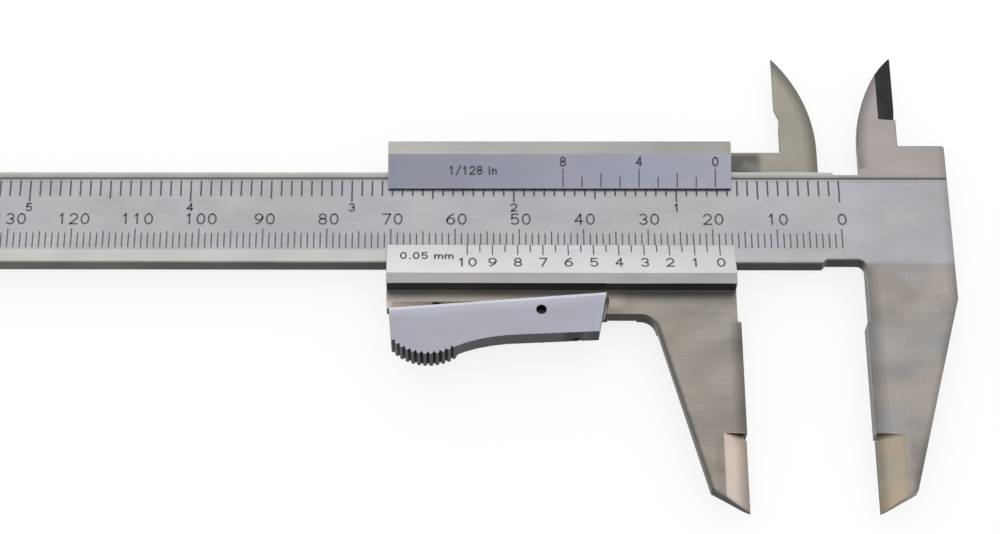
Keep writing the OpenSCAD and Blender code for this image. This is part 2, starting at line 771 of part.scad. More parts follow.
module gib_screws() {
    color([0.25, 0.25, 0.26]) on_beam()
        for (x = gib_screw_x)
            translate([x, slider_high - gib_screw_sunk, beam_t / 2])
                set_screw(
                    gib_screw_d, slider_high - gib_screw_sunk - gib_low - gib_t + gib_dimple_h - thread_clear,
                    gib_dimple_d, gib_dimple_h + edge_clear
                );
}

module depth_bar() {
    color([0.7, 0.7, 0.71]) on_beam() difference() {
        translate([bar_left, -bar_w / 2, bar_low]) cube([bar_right - bar_left, bar_w, bar_t]);
        translate([bar_left - over, bar_w / 2 - bar_notch, bar_low - over])
            cube([over + bar_notch, bar_notch + over, bar_t + 2 * over]);
        for (x = bar_screw_x)
            translate([x, 0, back_z]) cylinder(d = bar_screw_d + 2 * thread_clear, h = bar_screw_grip - back_z);
    }
}

module depth_bar_screws() {
    color([0.3, 0.3, 0.31]) on_beam()
        for (x = bar_screw_x)
            translate([x, 0, back_z])
                countersunk(bar_screw_d, bar_head_d, bar_screw_grip - back_z - thread_clear);
}

// Places a piece in the lever's own frame: pivot at the origin, upper edge along X
module on_lever() {
    on_beam() translate([pivot[0], pivot[1], 0]) rotate([0, 0, lever_tilt]) children();
}

// Lever seen from the front, raised by lift along its lower edge, with a pad corner between serrations
module lever_outline(lift) {
    pad_r = thumb_r - lift;
    polygon(concat(
        [[-thumb_arm, lever_top], [-thumb_arm, thumb_cy - pad_r * sin(pad_start)]],
        [
            for (a = [0:serrations])
                let (t = 180 + pad_start + a * serration_pitch)
                [-thumb_x + pad_r * cos(t), thumb_cy + pad_r * sin(t)]
        ],
        [
            for (s = [0.25:0.25:1])
                let (
                    p = [-thumb_x + pad_r * cos(270 + pad_end), thumb_cy + pad_r * sin(270 + pad_end)],
                    q = [-waist_x, lift - lever_waist],
                    bend = [-bend_x, lift - lever_waist - waist_drop]
                )
                (1 - s) * (1 - s) * p + 2 * s * (1 - s) * bend + s * s * q
        ],
        [[brake_arm - heel_slope, lift - lever_heel], [brake_arm, lever_top]]
    ));
}

// V-shaped groove across the thumb pad
module serration() {
    mouth = serration_w / 2 * (serration_d + over) / serration_d;
    linear_extrude(height = lever_t + 2 * over)
        polygon([
            [thumb_r - serration_d, 0],
            [thumb_r + over, mouth],
            [thumb_r + over, -mouth]
        ]);
}

module thumb_lever() {
    color([0.7, 0.71, 0.75]) on_lever() difference() {
        union() {
            translate([0, 0, lever_back + lever_rebate])
                linear_extrude(height = lever_t - lever_rebate) lever_outline(0);
            translate([0, 0, lever_back]) linear_extrude(height = lever_rebate + weld) {
                lever_outline(lever_rebate);
                intersection() {
                    lever_outline(0);
                    translate([-thumb_arm, -lever_heel - thumb_r])
                        square([thumb_arm - thumb_x + thumb_r * sin(pad_end), lever_heel + 2 * thumb_r]);
                }
            }
            translate([adjuster_x, 0, adjuster_z]) rotate([90, 0, 0])
                cylinder(r = adjuster_d / 2 + thread_clear + adjuster_wall, h = lever_waist);
        }
        translate([0, 0, lever_front]) {
            edge_bevel([brake_arm, lever_top], [-thumb_arm, lever_top], rim_w, rim_d);
            edge_bevel([brake_arm - heel_slope, -lever_heel], [brake_arm, lever_top], rim_w, rim_d);
        }
        translate([0, 0, lever_back - over]) cylinder(d = pin_d + 2 * pin_clear, h = lever_t + 2 * over);
        translate([adjuster_x, lever_top + over, adjuster_z]) rotate([90, 0, 0])
            cylinder(d = adjuster_d + 2 * thread_clear, h = lever_top + lever_heel + 2 * over);
        for (i = [0.5:1:serrations])
            translate([-thumb_x, thumb_cy, lever_back - over])
                rotate([0, 0, 180 + pad_start + i * serration_pitch]) serration();
    }
}

module lever_pin() {
    color([0.2, 0.2, 0.21]) on_lever() translate([0, 0, back_z])
        cylinder(d = pin_d, h = lever_front - pin_sunk - back_z);
}

module lever_washer() {
    color([0.75, 0.6, 0.3]) on_lever() difference() {
        translate([0, 0, seat_z + washer_gap]) cylinder(r = washer_r, h = washer_t);
        translate([0, 0, seat_z - over]) cylinder(d = pin_d + 2 * pin_clear, h = washer_t + 2 * over);
    }
}

module lever_adjusting_screw() {
    tip_d = adjuster_d * adjuster_tip_share;
    color([0.2, 0.2, 0.21]) on_lever()
        translate([adjuster_x, adjuster_tip - adjuster_len, adjuster_z]) mirror([0, 1, 0])
            set_screw(adjuster_d, adjuster_len, tip_d, adjuster_out * 2);
}

// One unbroken tube along the coil, 8 rings of 6 sides a curl
module lever_spring() {
    count = curls * rings + 1;
    slope = atan2(spring_rise, 2 * PI * spring_r);
    points = [
        for (i = [0:count - 1])
            let (a = i * 360 / rings)
            for (s = [0:wire_sides - 1])
                let (
                    b = s * 360 / wire_sides,
                    out = cos(b) * wire_d / 2,
                    side = sin(b) * wire_d / 2
                )
                [
                    (spring_r + out) * cos(a) + side * sin(a) * sin(slope),
                    spring_low + spring_rise * i / rings + side * cos(slope),
                    (spring_r + out) * sin(a) - side * cos(a) * sin(slope)
                ]
    ];
    walls = [
        for (i = [0:count - 2])
            for (s = [0:wire_sides - 1])
                let (
                    a = i * wire_sides + s,
                    b = i * wire_sides + (s + 1) % wire_sides
                )
                each [[a, b, a + wire_sides], [b, b + wire_sides, a + wire_sides]]
    ];
    last = (count - 1) * wire_sides;
    ends = [
        for (s = [1:wire_sides - 2])
            each [[0, s + 1, s], [last, last + s, last + s + 1]]
    ];
    color([0.5, 0.5, 0.52]) on_beam() translate([spring_cx, 0, spring_z])
        polyhedron(points = points, faces = concat(walls, ends));
}

module brake_plunger() {
    color([0.55, 0.55, 0.57]) on_beam() translate([plunger_x, shoe_low, plunger_z]) rotate([90, 0, 0])
        cylinder(d = plunger_d, h = shoe_low - plunger_end);
}

module brake_shoe() {
    color([0.75, 0.6, 0.3]) on_beam()
        translate([plunger_x - shoe_len / 2, shoe_low, shoe_side])
            cube([shoe_len, shoe_h, beam_t - 2 * shoe_side]);
}

main_beam();
end_stop_plate();
end_stop_screws();
slider_body();
inch_vernier_plate();
inch_plate_screws();
mm_vernier_plate();
mm_plate_screws();
gib_strip();
gib_screws();
depth_bar();
depth_bar_screws();
thumb_lever();
lever_pin();
lever_washer();
lever_spring();
lever_adjusting_screw();
brake_plunger();
brake_shoe();
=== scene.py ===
"""Finish of a left-handed sliding caliper: its metals, cut scales, numbers and a plain studio round it.

Lengths are in metres in the frame's own axes: X along the beam towards the fixed jaws, Y across it
towards the inside jaws, Z out of the graduated face. Zones of the metals and sizes of their patterns
are in millimetres, and Y of a zone is measured from the beam's centre line.
"""

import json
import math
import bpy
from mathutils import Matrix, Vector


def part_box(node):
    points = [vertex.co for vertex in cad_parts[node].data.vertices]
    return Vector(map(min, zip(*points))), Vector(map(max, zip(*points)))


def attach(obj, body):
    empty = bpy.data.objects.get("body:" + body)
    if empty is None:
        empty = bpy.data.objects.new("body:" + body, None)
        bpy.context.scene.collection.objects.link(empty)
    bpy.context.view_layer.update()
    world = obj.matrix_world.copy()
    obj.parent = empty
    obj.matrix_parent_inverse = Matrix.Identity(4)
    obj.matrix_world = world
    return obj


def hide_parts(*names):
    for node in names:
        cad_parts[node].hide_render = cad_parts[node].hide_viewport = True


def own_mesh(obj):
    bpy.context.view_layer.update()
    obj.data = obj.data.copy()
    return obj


bl_info = {
    "name": "Sliding caliper finish",
    "version": (1, 0, 0),
    "blender": (4, 5, 0),
    "location": "3D View > Sidebar > Caliper",
    "description": "Finishes the metals of a sliding caliper and cuts its scales and numbers",
    "category": "Object",
}

import bpy
import numpy as np
from bpy.props import FloatProperty, FloatVectorProperty, IntProperty, PointerProperty
from mathutils import Matrix, Vector
from mathutils.bvhtree import BVHTree

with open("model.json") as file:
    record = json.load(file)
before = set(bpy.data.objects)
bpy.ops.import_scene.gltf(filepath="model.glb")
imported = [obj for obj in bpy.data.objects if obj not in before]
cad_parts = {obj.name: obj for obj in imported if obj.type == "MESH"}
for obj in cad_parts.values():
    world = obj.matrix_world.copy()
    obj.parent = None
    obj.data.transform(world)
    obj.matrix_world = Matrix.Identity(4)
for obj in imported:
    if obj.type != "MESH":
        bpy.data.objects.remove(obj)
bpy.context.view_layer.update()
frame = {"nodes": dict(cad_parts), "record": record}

MM = 0.001
INCH = 25.4 * MM

mounts = {m["name"]: m for m in frame["record"]["mounts"]}
beam_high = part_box("main_beam")[1]
bar_low, bar_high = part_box("depth_bar")
rest_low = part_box("slider_body")[0].z
centre_y = (bar_low.y + bar_high.y) / 2
beam_face = beam_high.z
opening = -mounts["moving_measuring_face"]["pos_m"][0]

# Outside jaws, in millimetres: reach and knife edge's top from the centre line, tip's size, and flare
JAW_REACH = 48.9
KNIFE_TOP = -30
JAW_TIP_W = 5.66
JAW_TIP_H = 3.35
JAW_FLARE = 0.27

# Inside jaws, in millimetres: way from the measuring face, width of the root, and back's arc
INSIDE_OFFSET = 7
INSIDE_ROOT_W = 6.45
INSIDE_R = 26
INSIDE_ARC_Y = 12.5

# Patterns of the metals: sizes in millimetres, and the bump's height in metres
CLOUD_SIZE = (8, 5, 5)
DRIFT_SIZE = (11, 8, 8)
STREAK_W = 0.5
STREAK_REACH = 14
GRAIN_W = 0.09
GRAIN_REACH = 6
MATT_SIZE = 0.12
MATT_SHARE = 0.35
GRAIN_HEIGHT = 0.002 * MM
GLOSS_SPREAD = 0.06

# Mix node's two inputs and its output, for numbers and for colours
MIX_SOCKETS = {"FLOAT": (2, 3, 0), "RGBA": (6, 7, 2)}

# Broken edges: the bevel's width is cut to these shares where it would stray from the node
WELD_GAP = 0.002 * MM
FLAT_ANGLE = math.radians(0.6)
SHARP_ANGLE = math.radians(28)
CREASE_ANGLE = math.radians(12)
STRAY_LIMIT = 0.15 * MM
EDGE_SHARES = (1.0, 0.6, 0.3)

SPRING_WIRE = 0.3 * MM
SPRING_TURNS = 6
SPRING_STATIONS = 24
SPRING_SIDES = 8

# Lettering: gap and width of a character one high, and the angles of a stroke's round end
LETTER_GAP = 0.36
LETTER_W = 0.66
ARC_STEP = 20
ARC_POINTS = 5
ROUND_END = np.radians([20, 45, 70])

# Studio in metres, but for the sensor: each lamp has its way from the caliper, size and power's name
AIM_X = -0.07
SOFTBOXES = (
    ("key_softbox", (0.0, 0.91, 0.42), (1.5, 0.35), "key_power"),
    ("top_softbox", (0.0, 0.45, 0.9), (1.5, 0.5), "top_power"),
)
SENSOR_W = 36
FLOOR_HALF = 3.0
FLOOR_WHITE = 0.96
FLOOR_GLOW = 0.8


def linear(red, green, blue):
    """Scene colour of a screen colour from 0 to 255: each channel to the power 2.4 after its offset."""
    steps = np.array([red, green, blue]) / 255
    return tuple(np.where(steps <= 0.04045, steps / 12.92, ((steps + 0.055) / 1.055) ** 2.4))


def in_mm(point):
    """X and Y of a point in millimetres, with Y from the beam's centre line."""
    return Vector((point.x / MM, (point.y - centre_y) / MM))


def length(description, millimetres):
    """Length property with its default in millimetres."""
    return FloatProperty(description=description, default=millimetres * MM, unit="LENGTH", precision=5)


def number(description, default):
    """Plain number property."""
    return FloatProperty(description=description, default=default)


def count(description, default):
    """Whole number property."""
    return IntProperty(description=description, default=default)


def colour(description, *screen):
    """Colour property with its default as a screen colour."""
    return FloatVectorProperty(
        description=description, default=linear(*screen), subtype="COLOR", size=3, min=0, max=1
    )


class CaliperScales(bpy.types.PropertyGroup):
    """Layout of the scales cut in the beam, measured from its centre line."""

    zero_inset: length("Distance of both zero marks from the fixed face", 2.85)
    cut_width: length("Width of a fine line", 0.2)
    bold_width: length("Width of the inch lines and of the strokes of the numbers", 0.28)
    number_shift: length("Distance of the numbers from their lines", 0.2)
    cut_rise: length("Height of the black filling over the metal", 0.006)
    cut_depth: length("Depth of the filling under the metal", 0.03)
    mm_count: count("Length of the metric scale in millimetres", 150)
    mm_low: length("Lower end of the millimetre lines", -5.5)
    mm_short: length("Upper end of a millimetre line", -2.95)
    mm_middle: length("Upper end of a five millimetre line", -2.6)
    mm_long: length("Upper end of a ten millimetre line", -2.2)
    mm_digit: length("Height of the millimetre numbers", 1.75)
    mm_digit_y: length("Foot of the millimetre numbers", -1.35)
    inch_count: count("Length of the inch scale in inches", 6)
    inch_parts: count("Lines to one inch", 16)
    inch_high: length("Upper end of the inch lines", 6.35)
    inch_short: length("Lower end of a short inch line", 3.6)
    inch_middle: length("Lower end of a half inch line", 3.1)
    inch_long: length("Lower end of a whole inch line", 2.55)
    inch_digit: length("Height of the inch numbers", 1.25)
    inch_digit_y: length("Foot of the inch numbers", 0.95)


class CaliperVerniers(bpy.types.PropertyGroup):
    """Layout of the two verniers, measured from the beam's centre line."""

    mm_parts: count("Divisions of the metric vernier", 20)
    mm_span: length("Length of the metric vernier", 39)
    mm_start: length("Upper end of the metric vernier lines", -5.3)
    mm_short: length("Lower end of a line with no number", -6.8)
    mm_long: length("Lower end of a numbered line", -7.45)
    mm_digit: length("Height of the metric vernier numbers", 1.6)
    mm_digit_y: length("Foot of the metric vernier numbers", -9.75)
    mm_unit: length("Height of the metric unit words", 1.25)
    mm_unit_y: length("Foot of the metric unit words", -8.2)
    mm_unit_x: length("Distance of the unit words from the plate's left end", 6.2)
    inch_parts: count("Divisions of the inch vernier", 8)
    inch_span: number("Length of the inch vernier in inches", 15 / 16)
    inch_shift: length("Distance of the inch vernier's zero from the metric one", 0.2)
    inch_start: length("Lower end of the inch vernier lines", 4.85)
    inch_short: length("Upper end of an odd line", 6.35)
    inch_middle: length("Upper end of an even line", 6.9)
    inch_long: length("Upper end of a numbered line", 7.5)
    inch_digit: length("Height of the inch vernier numbers", 1.2)
    inch_digit_y: length("Foot of the inch vernier numbers", 7.95)
    inch_unit: length("Height of the inch unit words", 1.1)
    inch_unit_y: length("Foot of the inch unit words", 6.75)
    inch_unit_x: length("Distance of the unit words from the plate's left end", 13.3)


class CaliperFinishes(bpy.types.PropertyGroup):
    """Colours and edges of the metals."""

    satin: colour("Graduated face of the beam and head", 165, 164, 168)
    land: colour("Strip along the lower edge of the beam", 182, 182, 178)
    top_land: colour("Strip above the long cut line", 174, 174, 170)
    jaw: colour("Fixed jaw, and the ground steel of the small parts", 147, 142, 138)
    slider: colour("Slider and its moving outside jaw", 146, 140, 133)
    slider_top: colour("Part of the slider above the beam", 146, 143, 134)
    # Painted light: the inch plate's bevel faces away from the light and is given a darker, bluer colour than
    # the metric plate's bevel, which faces it.
    inch_plate: colour("Bevel of the inch vernier plate", 159, 162, 175)
    inch_flat: colour("Flat strip along the inch plate", 166, 163, 160)
    mm_plate: colour("Bevel of the metric vernier plate", 179, 177, 179)
    mm_flat: colour("Flat strip along the metric plate", 160, 158, 157)
    lever: colour("Thumb lever", 159, 160, 170)
    moving_knife: colour("Ground bevel of the moving jaw's knife edge", 204, 190, 179)
    fixed_knife: colour("Ground bevel of the fixed jaw's knife edge", 158, 148, 131)
    head: colour("Block and root of the inside jaw above the fixed jaw", 156, 150, 148)
    blacked: colour("Bevel of the fixed inside jaw", 56, 55, 54)
    dark: colour("Screws and pins", 62, 61, 62)
    brass: colour("Gib strip, washer and brake shoe", 196, 160, 92)
    ink: colour("Black filling of the lines and numbers", 66, 66, 72)
    groove: colour("Worn filling of the long cut line", 112, 112, 114)
    # Painted shade: these shares darken the side walls where they turn away from the light. The darkening is
    # strongest on walls towards the jaws' tips and in slots and teeth. The beam's lower edge is painted less
    # dark at its far end.
    wall: number("Share of the face's light that the rough milled sides keep", 0.3)
    top_wall: number("Share that walls facing away from the jaws' tips keep", 0.6)
    low_wall: number("Share that oily walls towards the jaws' tips keep, the beam's at its right", 0.055)
    far_wall: number("Share that the beam's lower edge keeps at the far end, where it is wiped", 0.33)
    slot_wall: number("Share that the oily walls of slots and teeth keep", 0.14)
    # Painted light: lifts the walls and floor of the lever's seat, which lie in shade.
    seat_wall: number("Share of the lever's seat, which the lever's back lights", 2.2)
    # Painted highlight along the lever's rim.
    rim: number("Brightness of the lever's rim against its face", 1.22)
    lever_tilt: number("Lever's angle to the beam at rest, in degrees", 4.65)
    edge: length("Width of the broken edges", 0.1)


class CaliperStage(bpy.types.PropertyGroup):
    """Camera, lamps and floor."""

    camera_x: length("Camera's place along the beam", -61.056)
    camera_y: length("Camera's place across the beam", -156.167)
    camera_z: length("Camera's height", 349.601)
    tilt: number("Camera's angle from straight down, in degrees", 26.632)
    swing: number("Camera's turn about its upright, in degrees", -1.5142)
    roll: number("Camera's turn about its own axis, in degrees", 0.0823)
    lens: number("Focal length in millimetres on a 36 mm sensor", 90.604)
    shift: number("Sideways shift that the off-centre framing needs", 0.1)
    sky: number("Strength of the white sky", 1.0)
    key_power: number("Power of the long low softbox behind the caliper, in watts", 2.3)
    top_power: number("Power of the softbox overhead, in watts", 0.7)


def given(thing, **settings):
    """The same thing, with its settings made."""
    for name, value in settings.items():
        setattr(thing, name, value)
    return thing


def shaded(base, share):
    """Colour made lighter or darker by a share of itself, kept under 1."""
    return tuple(min(1.0, c * (1 + share)) for c in base)


def tinted(base, warm):
    """Colour moved towards red and away from blue by a share of itself."""
    return tuple(min(1.0, c * f) for c, f in zip(base, (1 + warm, 1.0, 1 - warm)))


def stretched(size, reach, direction):
    """Sizes along X, Y and Z that are all the same but for the reach in one direction."""
    return [reach if axis == direction else size for axis in "XYZ"]


class Shader:
    """Short way to add and join the nodes of one material, and to lay on its colour zone by zone.

    x, y and z are Object coordinates in millimetres, with y from the beam's centre line. side_x,
    side_y and facing are the normal's parts along X, Y and Z. colour is the colour laid on so far.
    """

    def __init__(self, name):
        self.material = bpy.data.materials.new(name)
        self.material.use_nodes = True
        self.tree = self.material.node_tree
        self.surface = self.tree.nodes["Principled BSDF"]
        source = self.add("ShaderNodeTexCoord")
        self.place = source.outputs["Object"]
        measured = self.moved(self.place, [1 / MM] * 3, [0, -centre_y / MM, 0])
        self.x, self.y, self.z = self.add("ShaderNodeSeparateXYZ", Vector=measured).outputs
        parts = self.add("ShaderNodeSeparateXYZ", Vector=source.outputs["Normal"])
        self.side_x, self.side_y, self.facing = parts.outputs
        self.colour = None

    def add(self, kind, **inputs):
        """New node of that kind, its inputs set or linked by name."""
        node = self.tree.nodes.new(kind)
        for name, value in inputs.items():
            self.join(value, node.inputs[name])
        return node

    def join(self, value, socket):
        """Links a socket, or sets a plain value."""
        if isinstance(value, bpy.types.NodeSocket):
            self.tree.links.new(value, socket)
        else:
            socket.default_value = value

    def operate(self, kind, operation, *values):
        """Result of a math node of that kind, its inputs given in order."""
        node = self.add(kind)
        node.operation = operation
        for value, socket in zip(values, node.inputs):
            self.join(value, socket)
        return node.outputs[0]

    def math(self, operation, *values):
        """Result of one operation on numbers."""
        return self.operate("ShaderNodeMath", operation, *values)

    def moved(self, vector, factors, shift):
        """Vector times the factors, plus the shift."""
        return self.operate("ShaderNodeVectorMath", "MULTIPLY_ADD", vector, factors, shift)

    def noise(self, sizes, detail=2.0, roughness=0.5, shift=0.0):
        """Noise from 0 to 1 with features of these sizes in millimetres along X, Y and Z.

        The shift gives each pattern a place of its own in the noise.
        """
        place = self.moved(self.place, [1 / (size * MM) for size in sizes], [shift] * 3)
        node = self.add("ShaderNodeTexNoise", Vector=place, Scale=1.0, Detail=detail, Roughness=roughness)
        return node.outputs["Fac"]

    def ramp(self, value, low, high):
        """0 at low and 1 at high, straight between."""
        limits = {"Value": value, "From Min": low, "From Max": high}
        return self.add("ShaderNodeMapRange", **limits).outputs["Result"]

    def spread(self, share, low, high):
        """Number that runs from low to high as share runs from 0 to 1."""
        limits = {"Value": share, "To Min": low, "To Max": high}
        return self.add("ShaderNodeMapRange", **limits).outputs["Result"]

    def step(self, value, edge, soft):
        """0 below edge and 1 above it, over a soft width."""
        result = self.ramp(value, edge - soft / 2, edge + soft / 2)
        result.node.interpolation_type = "SMOOTHSTEP"
        return result

    def under(self, value, edge, soft):
        """1 below edge and 0 above it, over a soft width."""
        return self.rest_of(self.step(value, edge, soft))

    def between(self, value, low, high, soft):
        """1 between low and high, 0 outside."""
        return self.both(self.step(value, low, soft), self.under(value, high, soft))

    def both(self, *shares):
        """Product of shares: 1 only where each of them is."""
        result = shares[0]
        for share in shares[1:]:
            result = self.math("MULTIPLY", result, share)
        return result

    def rest_of(self, share):
        """What a share leaves of 1."""
        return self.math("SUBTRACT", 1.0, share)

    def level(self):
        """1 on faces that look straight out."""
        return self.step(self.facing, 0.9, 0.1)

    def slanted(self):
        """1 on faces that lean, between the level faces and the side walls."""
        return self.between(self.facing, 0.5, 0.975, 0.01)

    def upright(self):
        """1 on side walls."""
        return self.under(self.math("ABSOLUTE", self.facing), 0.78, 0.1)

    def downward(self, edge=-0.5):
        """1 on walls that face towards the tips of the outside jaws."""
        return self.under(self.side_y, edge, 0.2)

    def wall_light(self, look):
        """Share of light that painted shade leaves on walls, larger where they face away from the tips."""
        return self.number_blend(self.step(self.side_y, 0.5, 0.3), look.wall, look.top_wall)

    def beside(self, start, end, width):
        """1 at a straight edge, falling to 0 at a width away from it on its left, seen from start to end.

        The distance is the cross product of the edge's direction with the way from start.
        """
        along = (end - start).normalized()
        across_x = self.math("MULTIPLY", self.math("SUBTRACT", self.x, start.x), -along.y)
        across_y = self.math("MULTIPLY", self.math("SUBTRACT", self.y, start.y), along.x)
        return self.under(self.math("ADD", across_x, across_y), width / 2, width)

    def around(self, middle_x, width):
        """1 at the inner side of an inside jaw's arc, falling to 0 at a width inside it.

        The distance is the root of the squares of the ways in X and Y from the arc's middle, with the
        way in Y never under 0, so that the arc goes straight down below its middle.
        """
        way_x = self.math("SUBTRACT", self.x, middle_x)
        way_y = self.math("MAXIMUM", self.math("SUBTRACT", self.y, INSIDE_ARC_Y), 0.0)
        squares = self.math("ADD", self.both(way_x, way_x), self.both(way_y, way_y))
        return self.step(self.math("SQRT", squares), INSIDE_R - width / 2, width)

    def mix(self, kind, share, first, second):
        """Number or colour that runs from first to second as share runs from 0 to 1."""
        node = self.add("ShaderNodeMix")
        node.data_type = kind
        start, end, result = MIX_SOCKETS[kind]
        for value, place in ((share, 0), (first, start), (second, end)):
            self.join((*value, 1.0) if isinstance(value, tuple) else value, node.inputs[place])
        return node.outputs[result]

    def blend(self, share, first, second):
        """Colour that runs from first to second."""
        return self.mix("RGBA", share, first, second)

    def number_blend(self, share, first, second):
        """Number that runs from first to second."""
        return self.mix("FLOAT", share, first, second)

    def scaled(self, base, light):
        """Colour times a number, which may vary."""
        node = self.add("ShaderNodeVectorMath")
        node.operation = "SCALE"
        self.join(base, node.inputs[0])
        self.join(light, node.inputs["Scale"])
        return node.outputs[0]

    def clouded(self, base, cloud, tint, streak=0.03, direction="X"):
        """Base colour with light and dark clouds, grinding streaks and a slight warm and cool drift."""
        clouds = self.step(self.noise(CLOUD_SIZE, detail=3.0), 0.5, 0.5)
        drift = self.step(self.noise(DRIFT_SIZE, shift=4.7), 0.5, 0.4)
        streaks = self.step(self.noise(stretched(STREAK_W, STREAK_REACH, direction), shift=2.3), 0.5, 0.6)
        cool, warm = (
            self.blend(clouds, shaded(tinted(base, way), -cloud), shaded(tinted(base, way), cloud))
            for way in (-tint, tint)
        )
        drifted = self.blend(drift, cool, warm)
        return self.blend(streaks, drifted, self.scaled(drifted, 1 - 2 * streak))

    def paint(self, share, other):
        """Lays another colour over the one so far, as far as the share goes."""
        self.colour = self.blend(share, self.colour, other)

    def shade(self, share, light):
        """Multiplies the colour so far by the light, as far as the share goes."""
        self.paint(share, self.scaled(self.colour, light))

    def finish(self, roughness, direction="X"):
        """Bare metal of the colour so far, with fine grinding lines along an axis over a matt texture."""
        lines = self.noise(stretched(GRAIN_W, GRAIN_REACH, direction), detail=3.0, roughness=0.6)
        matt = self.noise([MATT_SIZE] * 3, detail=1.0, shift=9.1)
        height = self.number_blend(MATT_SHARE, lines, matt)
        bump = self.add("ShaderNodeBump", Height=height, Distance=GRAIN_HEIGHT, Strength=1.0)
        gloss = self.spread(lines, roughness - GLOSS_SPREAD, roughness + GLOSS_SPREAD)
        inputs = self.surface.inputs
        inputs["Metallic"].default_value = 1.0
        self.join(self.colour, inputs["Base Color"])
        self.join(gloss, inputs["Roughness"])
        self.join(bump.outputs["Normal"], inputs["Normal"])
        return self.material


def metal(name, base, roughness, cloud=0.05):
    """Plain metal with clouds, grinding lines and a little change of gloss."""
    shader = Shader(name)
    shader.colour = shader.clouded(base, cloud, tint=0.02)
    return shader.finish(roughness)


def edge_metal(name, base):
    """Edge that hands and cloths have polished, a tenth brighter than the face."""
    return metal(name, shaded(base, 0.1), 0.28, cloud=0.08)


def strays(piece, tree):
    """Tells whether any triangle of the finished piece has its middle off the node's own mesh."""
    finished = piece.evaluated_get(bpy.context.evaluated_depsgraph_get())
    mesh = finished.to_mesh()
    points = np.empty(3 * len(mesh.vertices))
    corners = np.empty(3 * len(mesh.loop_triangles), dtype=np.int32)
    mesh.vertices.foreach_get("co", points)
    mesh.loop_triangles.foreach_get("vertices", corners)
    middles = points.reshape(-1, 3)[corners.reshape(-1, 3)].mean(axis=1)
    finished.to_mesh_clear()
    return any(tree.find_nearest(Vector(middle))[3] > STRAY_LIMIT for middle in middles)


def dress(node, material, edge_material, width):
    """Gives a node its metal and breaks its sharp edges.

    The triangles are joined again, flat faces become single faces, and each edge sharper than the
    limit gets a narrow rounded bevel in the edge metal. Where the bevel would throw a face off the
    node's surface it is made narrower, and at last left out. The node's own mesh stays as it is.
    """
    piece = frame["nodes"][node]
    piece.material_slots[0].material = material
    piece.data.materials.append(edge_material)
    new = piece.modifiers.new
    given(new("joined", "WELD"), merge_threshold=WELD_GAP)
    given(new("flats", "DECIMATE"), decimate_type="DISSOLVE", angle_limit=FLAT_ANGLE)
    limit = {"limit_method": "ANGLE", "angle_limit": SHARP_ANGLE}
    edges = given(new("edges", "BEVEL"), segments=2, use_clamp_overlap=False, material=1, **limit)
    given(new("creases", "EDGE_SPLIT"), split_angle=CREASE_ANGLE, use_edge_sharp=False)
    new("shading", "WEIGHTED_NORMAL")
    points = [v.co for v in piece.data.vertices]
    tree = BVHTree.FromPolygons(points, [p.vertices for p in piece.data.polygons], all_triangles=True)
    for share in EDGE_SHARES:
        edges.width = width * share
        if not strays(piece, tree):
            return
    piece.modifiers.remove(edges)


def put(name, points, faces, material, body, slot="scale_filling"):
    """New piece from an array of points and one of faces, riding on a body."""
    mesh = bpy.data.meshes.new(name)
    mesh.from_pydata(points.tolist(), [], faces.tolist())
    mesh.materials.append(material)
    piece = bpy.data.objects.new(name, mesh)
    bpy.context.scene.collection.objects.link(piece)
    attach(piece, body)
    return piece


def tube_walls(rings, sides):
    """Quads that join each side of each ring of a tube to the next ring."""
    station = sides * np.arange(rings - 1)[:, None]
    corner = np.arange(sides)[None]
    after = (corner + 1) % sides
    quads = [station + corner, station + after, station + sides + after, station + sides + corner]
    return np.stack(quads, axis=2).reshape(-1, 4)


def coil(low, high):
    """Closed tube of spring wire along a helix about an upright Y axis, inside a box.

    The centre line is the axis plus the radius times the cosine and sine of the turn in X and Z, and Y
    grows evenly with the turn. Each ring is the centre line plus half the wire times the cosine of a
    second angle along the outward direction and its sine along the cross product of the line's
    direction with the outward one. Three quads close each eight-sided end.
    """
    radius = (high.x - low.x - SPRING_WIRE) / 2
    whole = 2 * np.pi * SPRING_TURNS
    turn = np.linspace(0, whole, SPRING_STATIONS * SPRING_TURNS + 1)[:, None, None]
    side = (np.arange(SPRING_SIDES) * 2 * np.pi / SPRING_SIDES)[None, :, None]
    zero = np.zeros_like(turn)
    outward = np.concatenate([np.cos(turn), zero, np.sin(turn)], axis=2)
    around = np.concatenate([-np.sin(turn), zero, np.cos(turn)], axis=2)
    climb = np.array([0, (high.y - low.y - SPRING_WIRE) / whole, 0])
    along = radius * around + climb
    along /= np.linalg.norm(along, axis=2, keepdims=True)
    foot = np.array([(low.x + high.x) / 2, low.y + SPRING_WIRE / 2, (low.z + high.z) / 2])
    line = foot + radius * outward + climb * turn
    rings = line + SPRING_WIRE / 2 * (np.cos(side) * outward + np.sin(side) * np.cross(along, outward))
    cap = np.array([[0, 1, 2, 3], [0, 3, 4, 7], [4, 5, 6, 7]])
    caps = [cap[:, ::-1], cap + SPRING_SIDES * (len(turn) - 1)]
    return rings.reshape(-1, 3), np.concatenate([tube_walls(len(turn), SPRING_SIDES), *caps])


def flat_surface(height):
    """Surface of constant height."""
    return lambda y: np.full_like(y, height)


def bevel_surface(node, near, far):
    """Height of a plate's bevel as a straight line through the heights met straight down at two places."""
    piece = frame["nodes"][node]
    tree = BVHTree.FromObject(piece, bpy.context.evaluated_depsgraph_get())
    low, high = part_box(node)
    middle = (low.x + high.x) / 2
    down = Vector((0, 0, -1))
    heights = [tree.ray_cast(Vector((middle, centre_y + y, high.z + MM)), down)[0].z for y in (near, far)]
    slope = (heights[1] - heights[0]) / (far - near)
    return lambda y: heights[0] + slope * (y - centre_y - near)


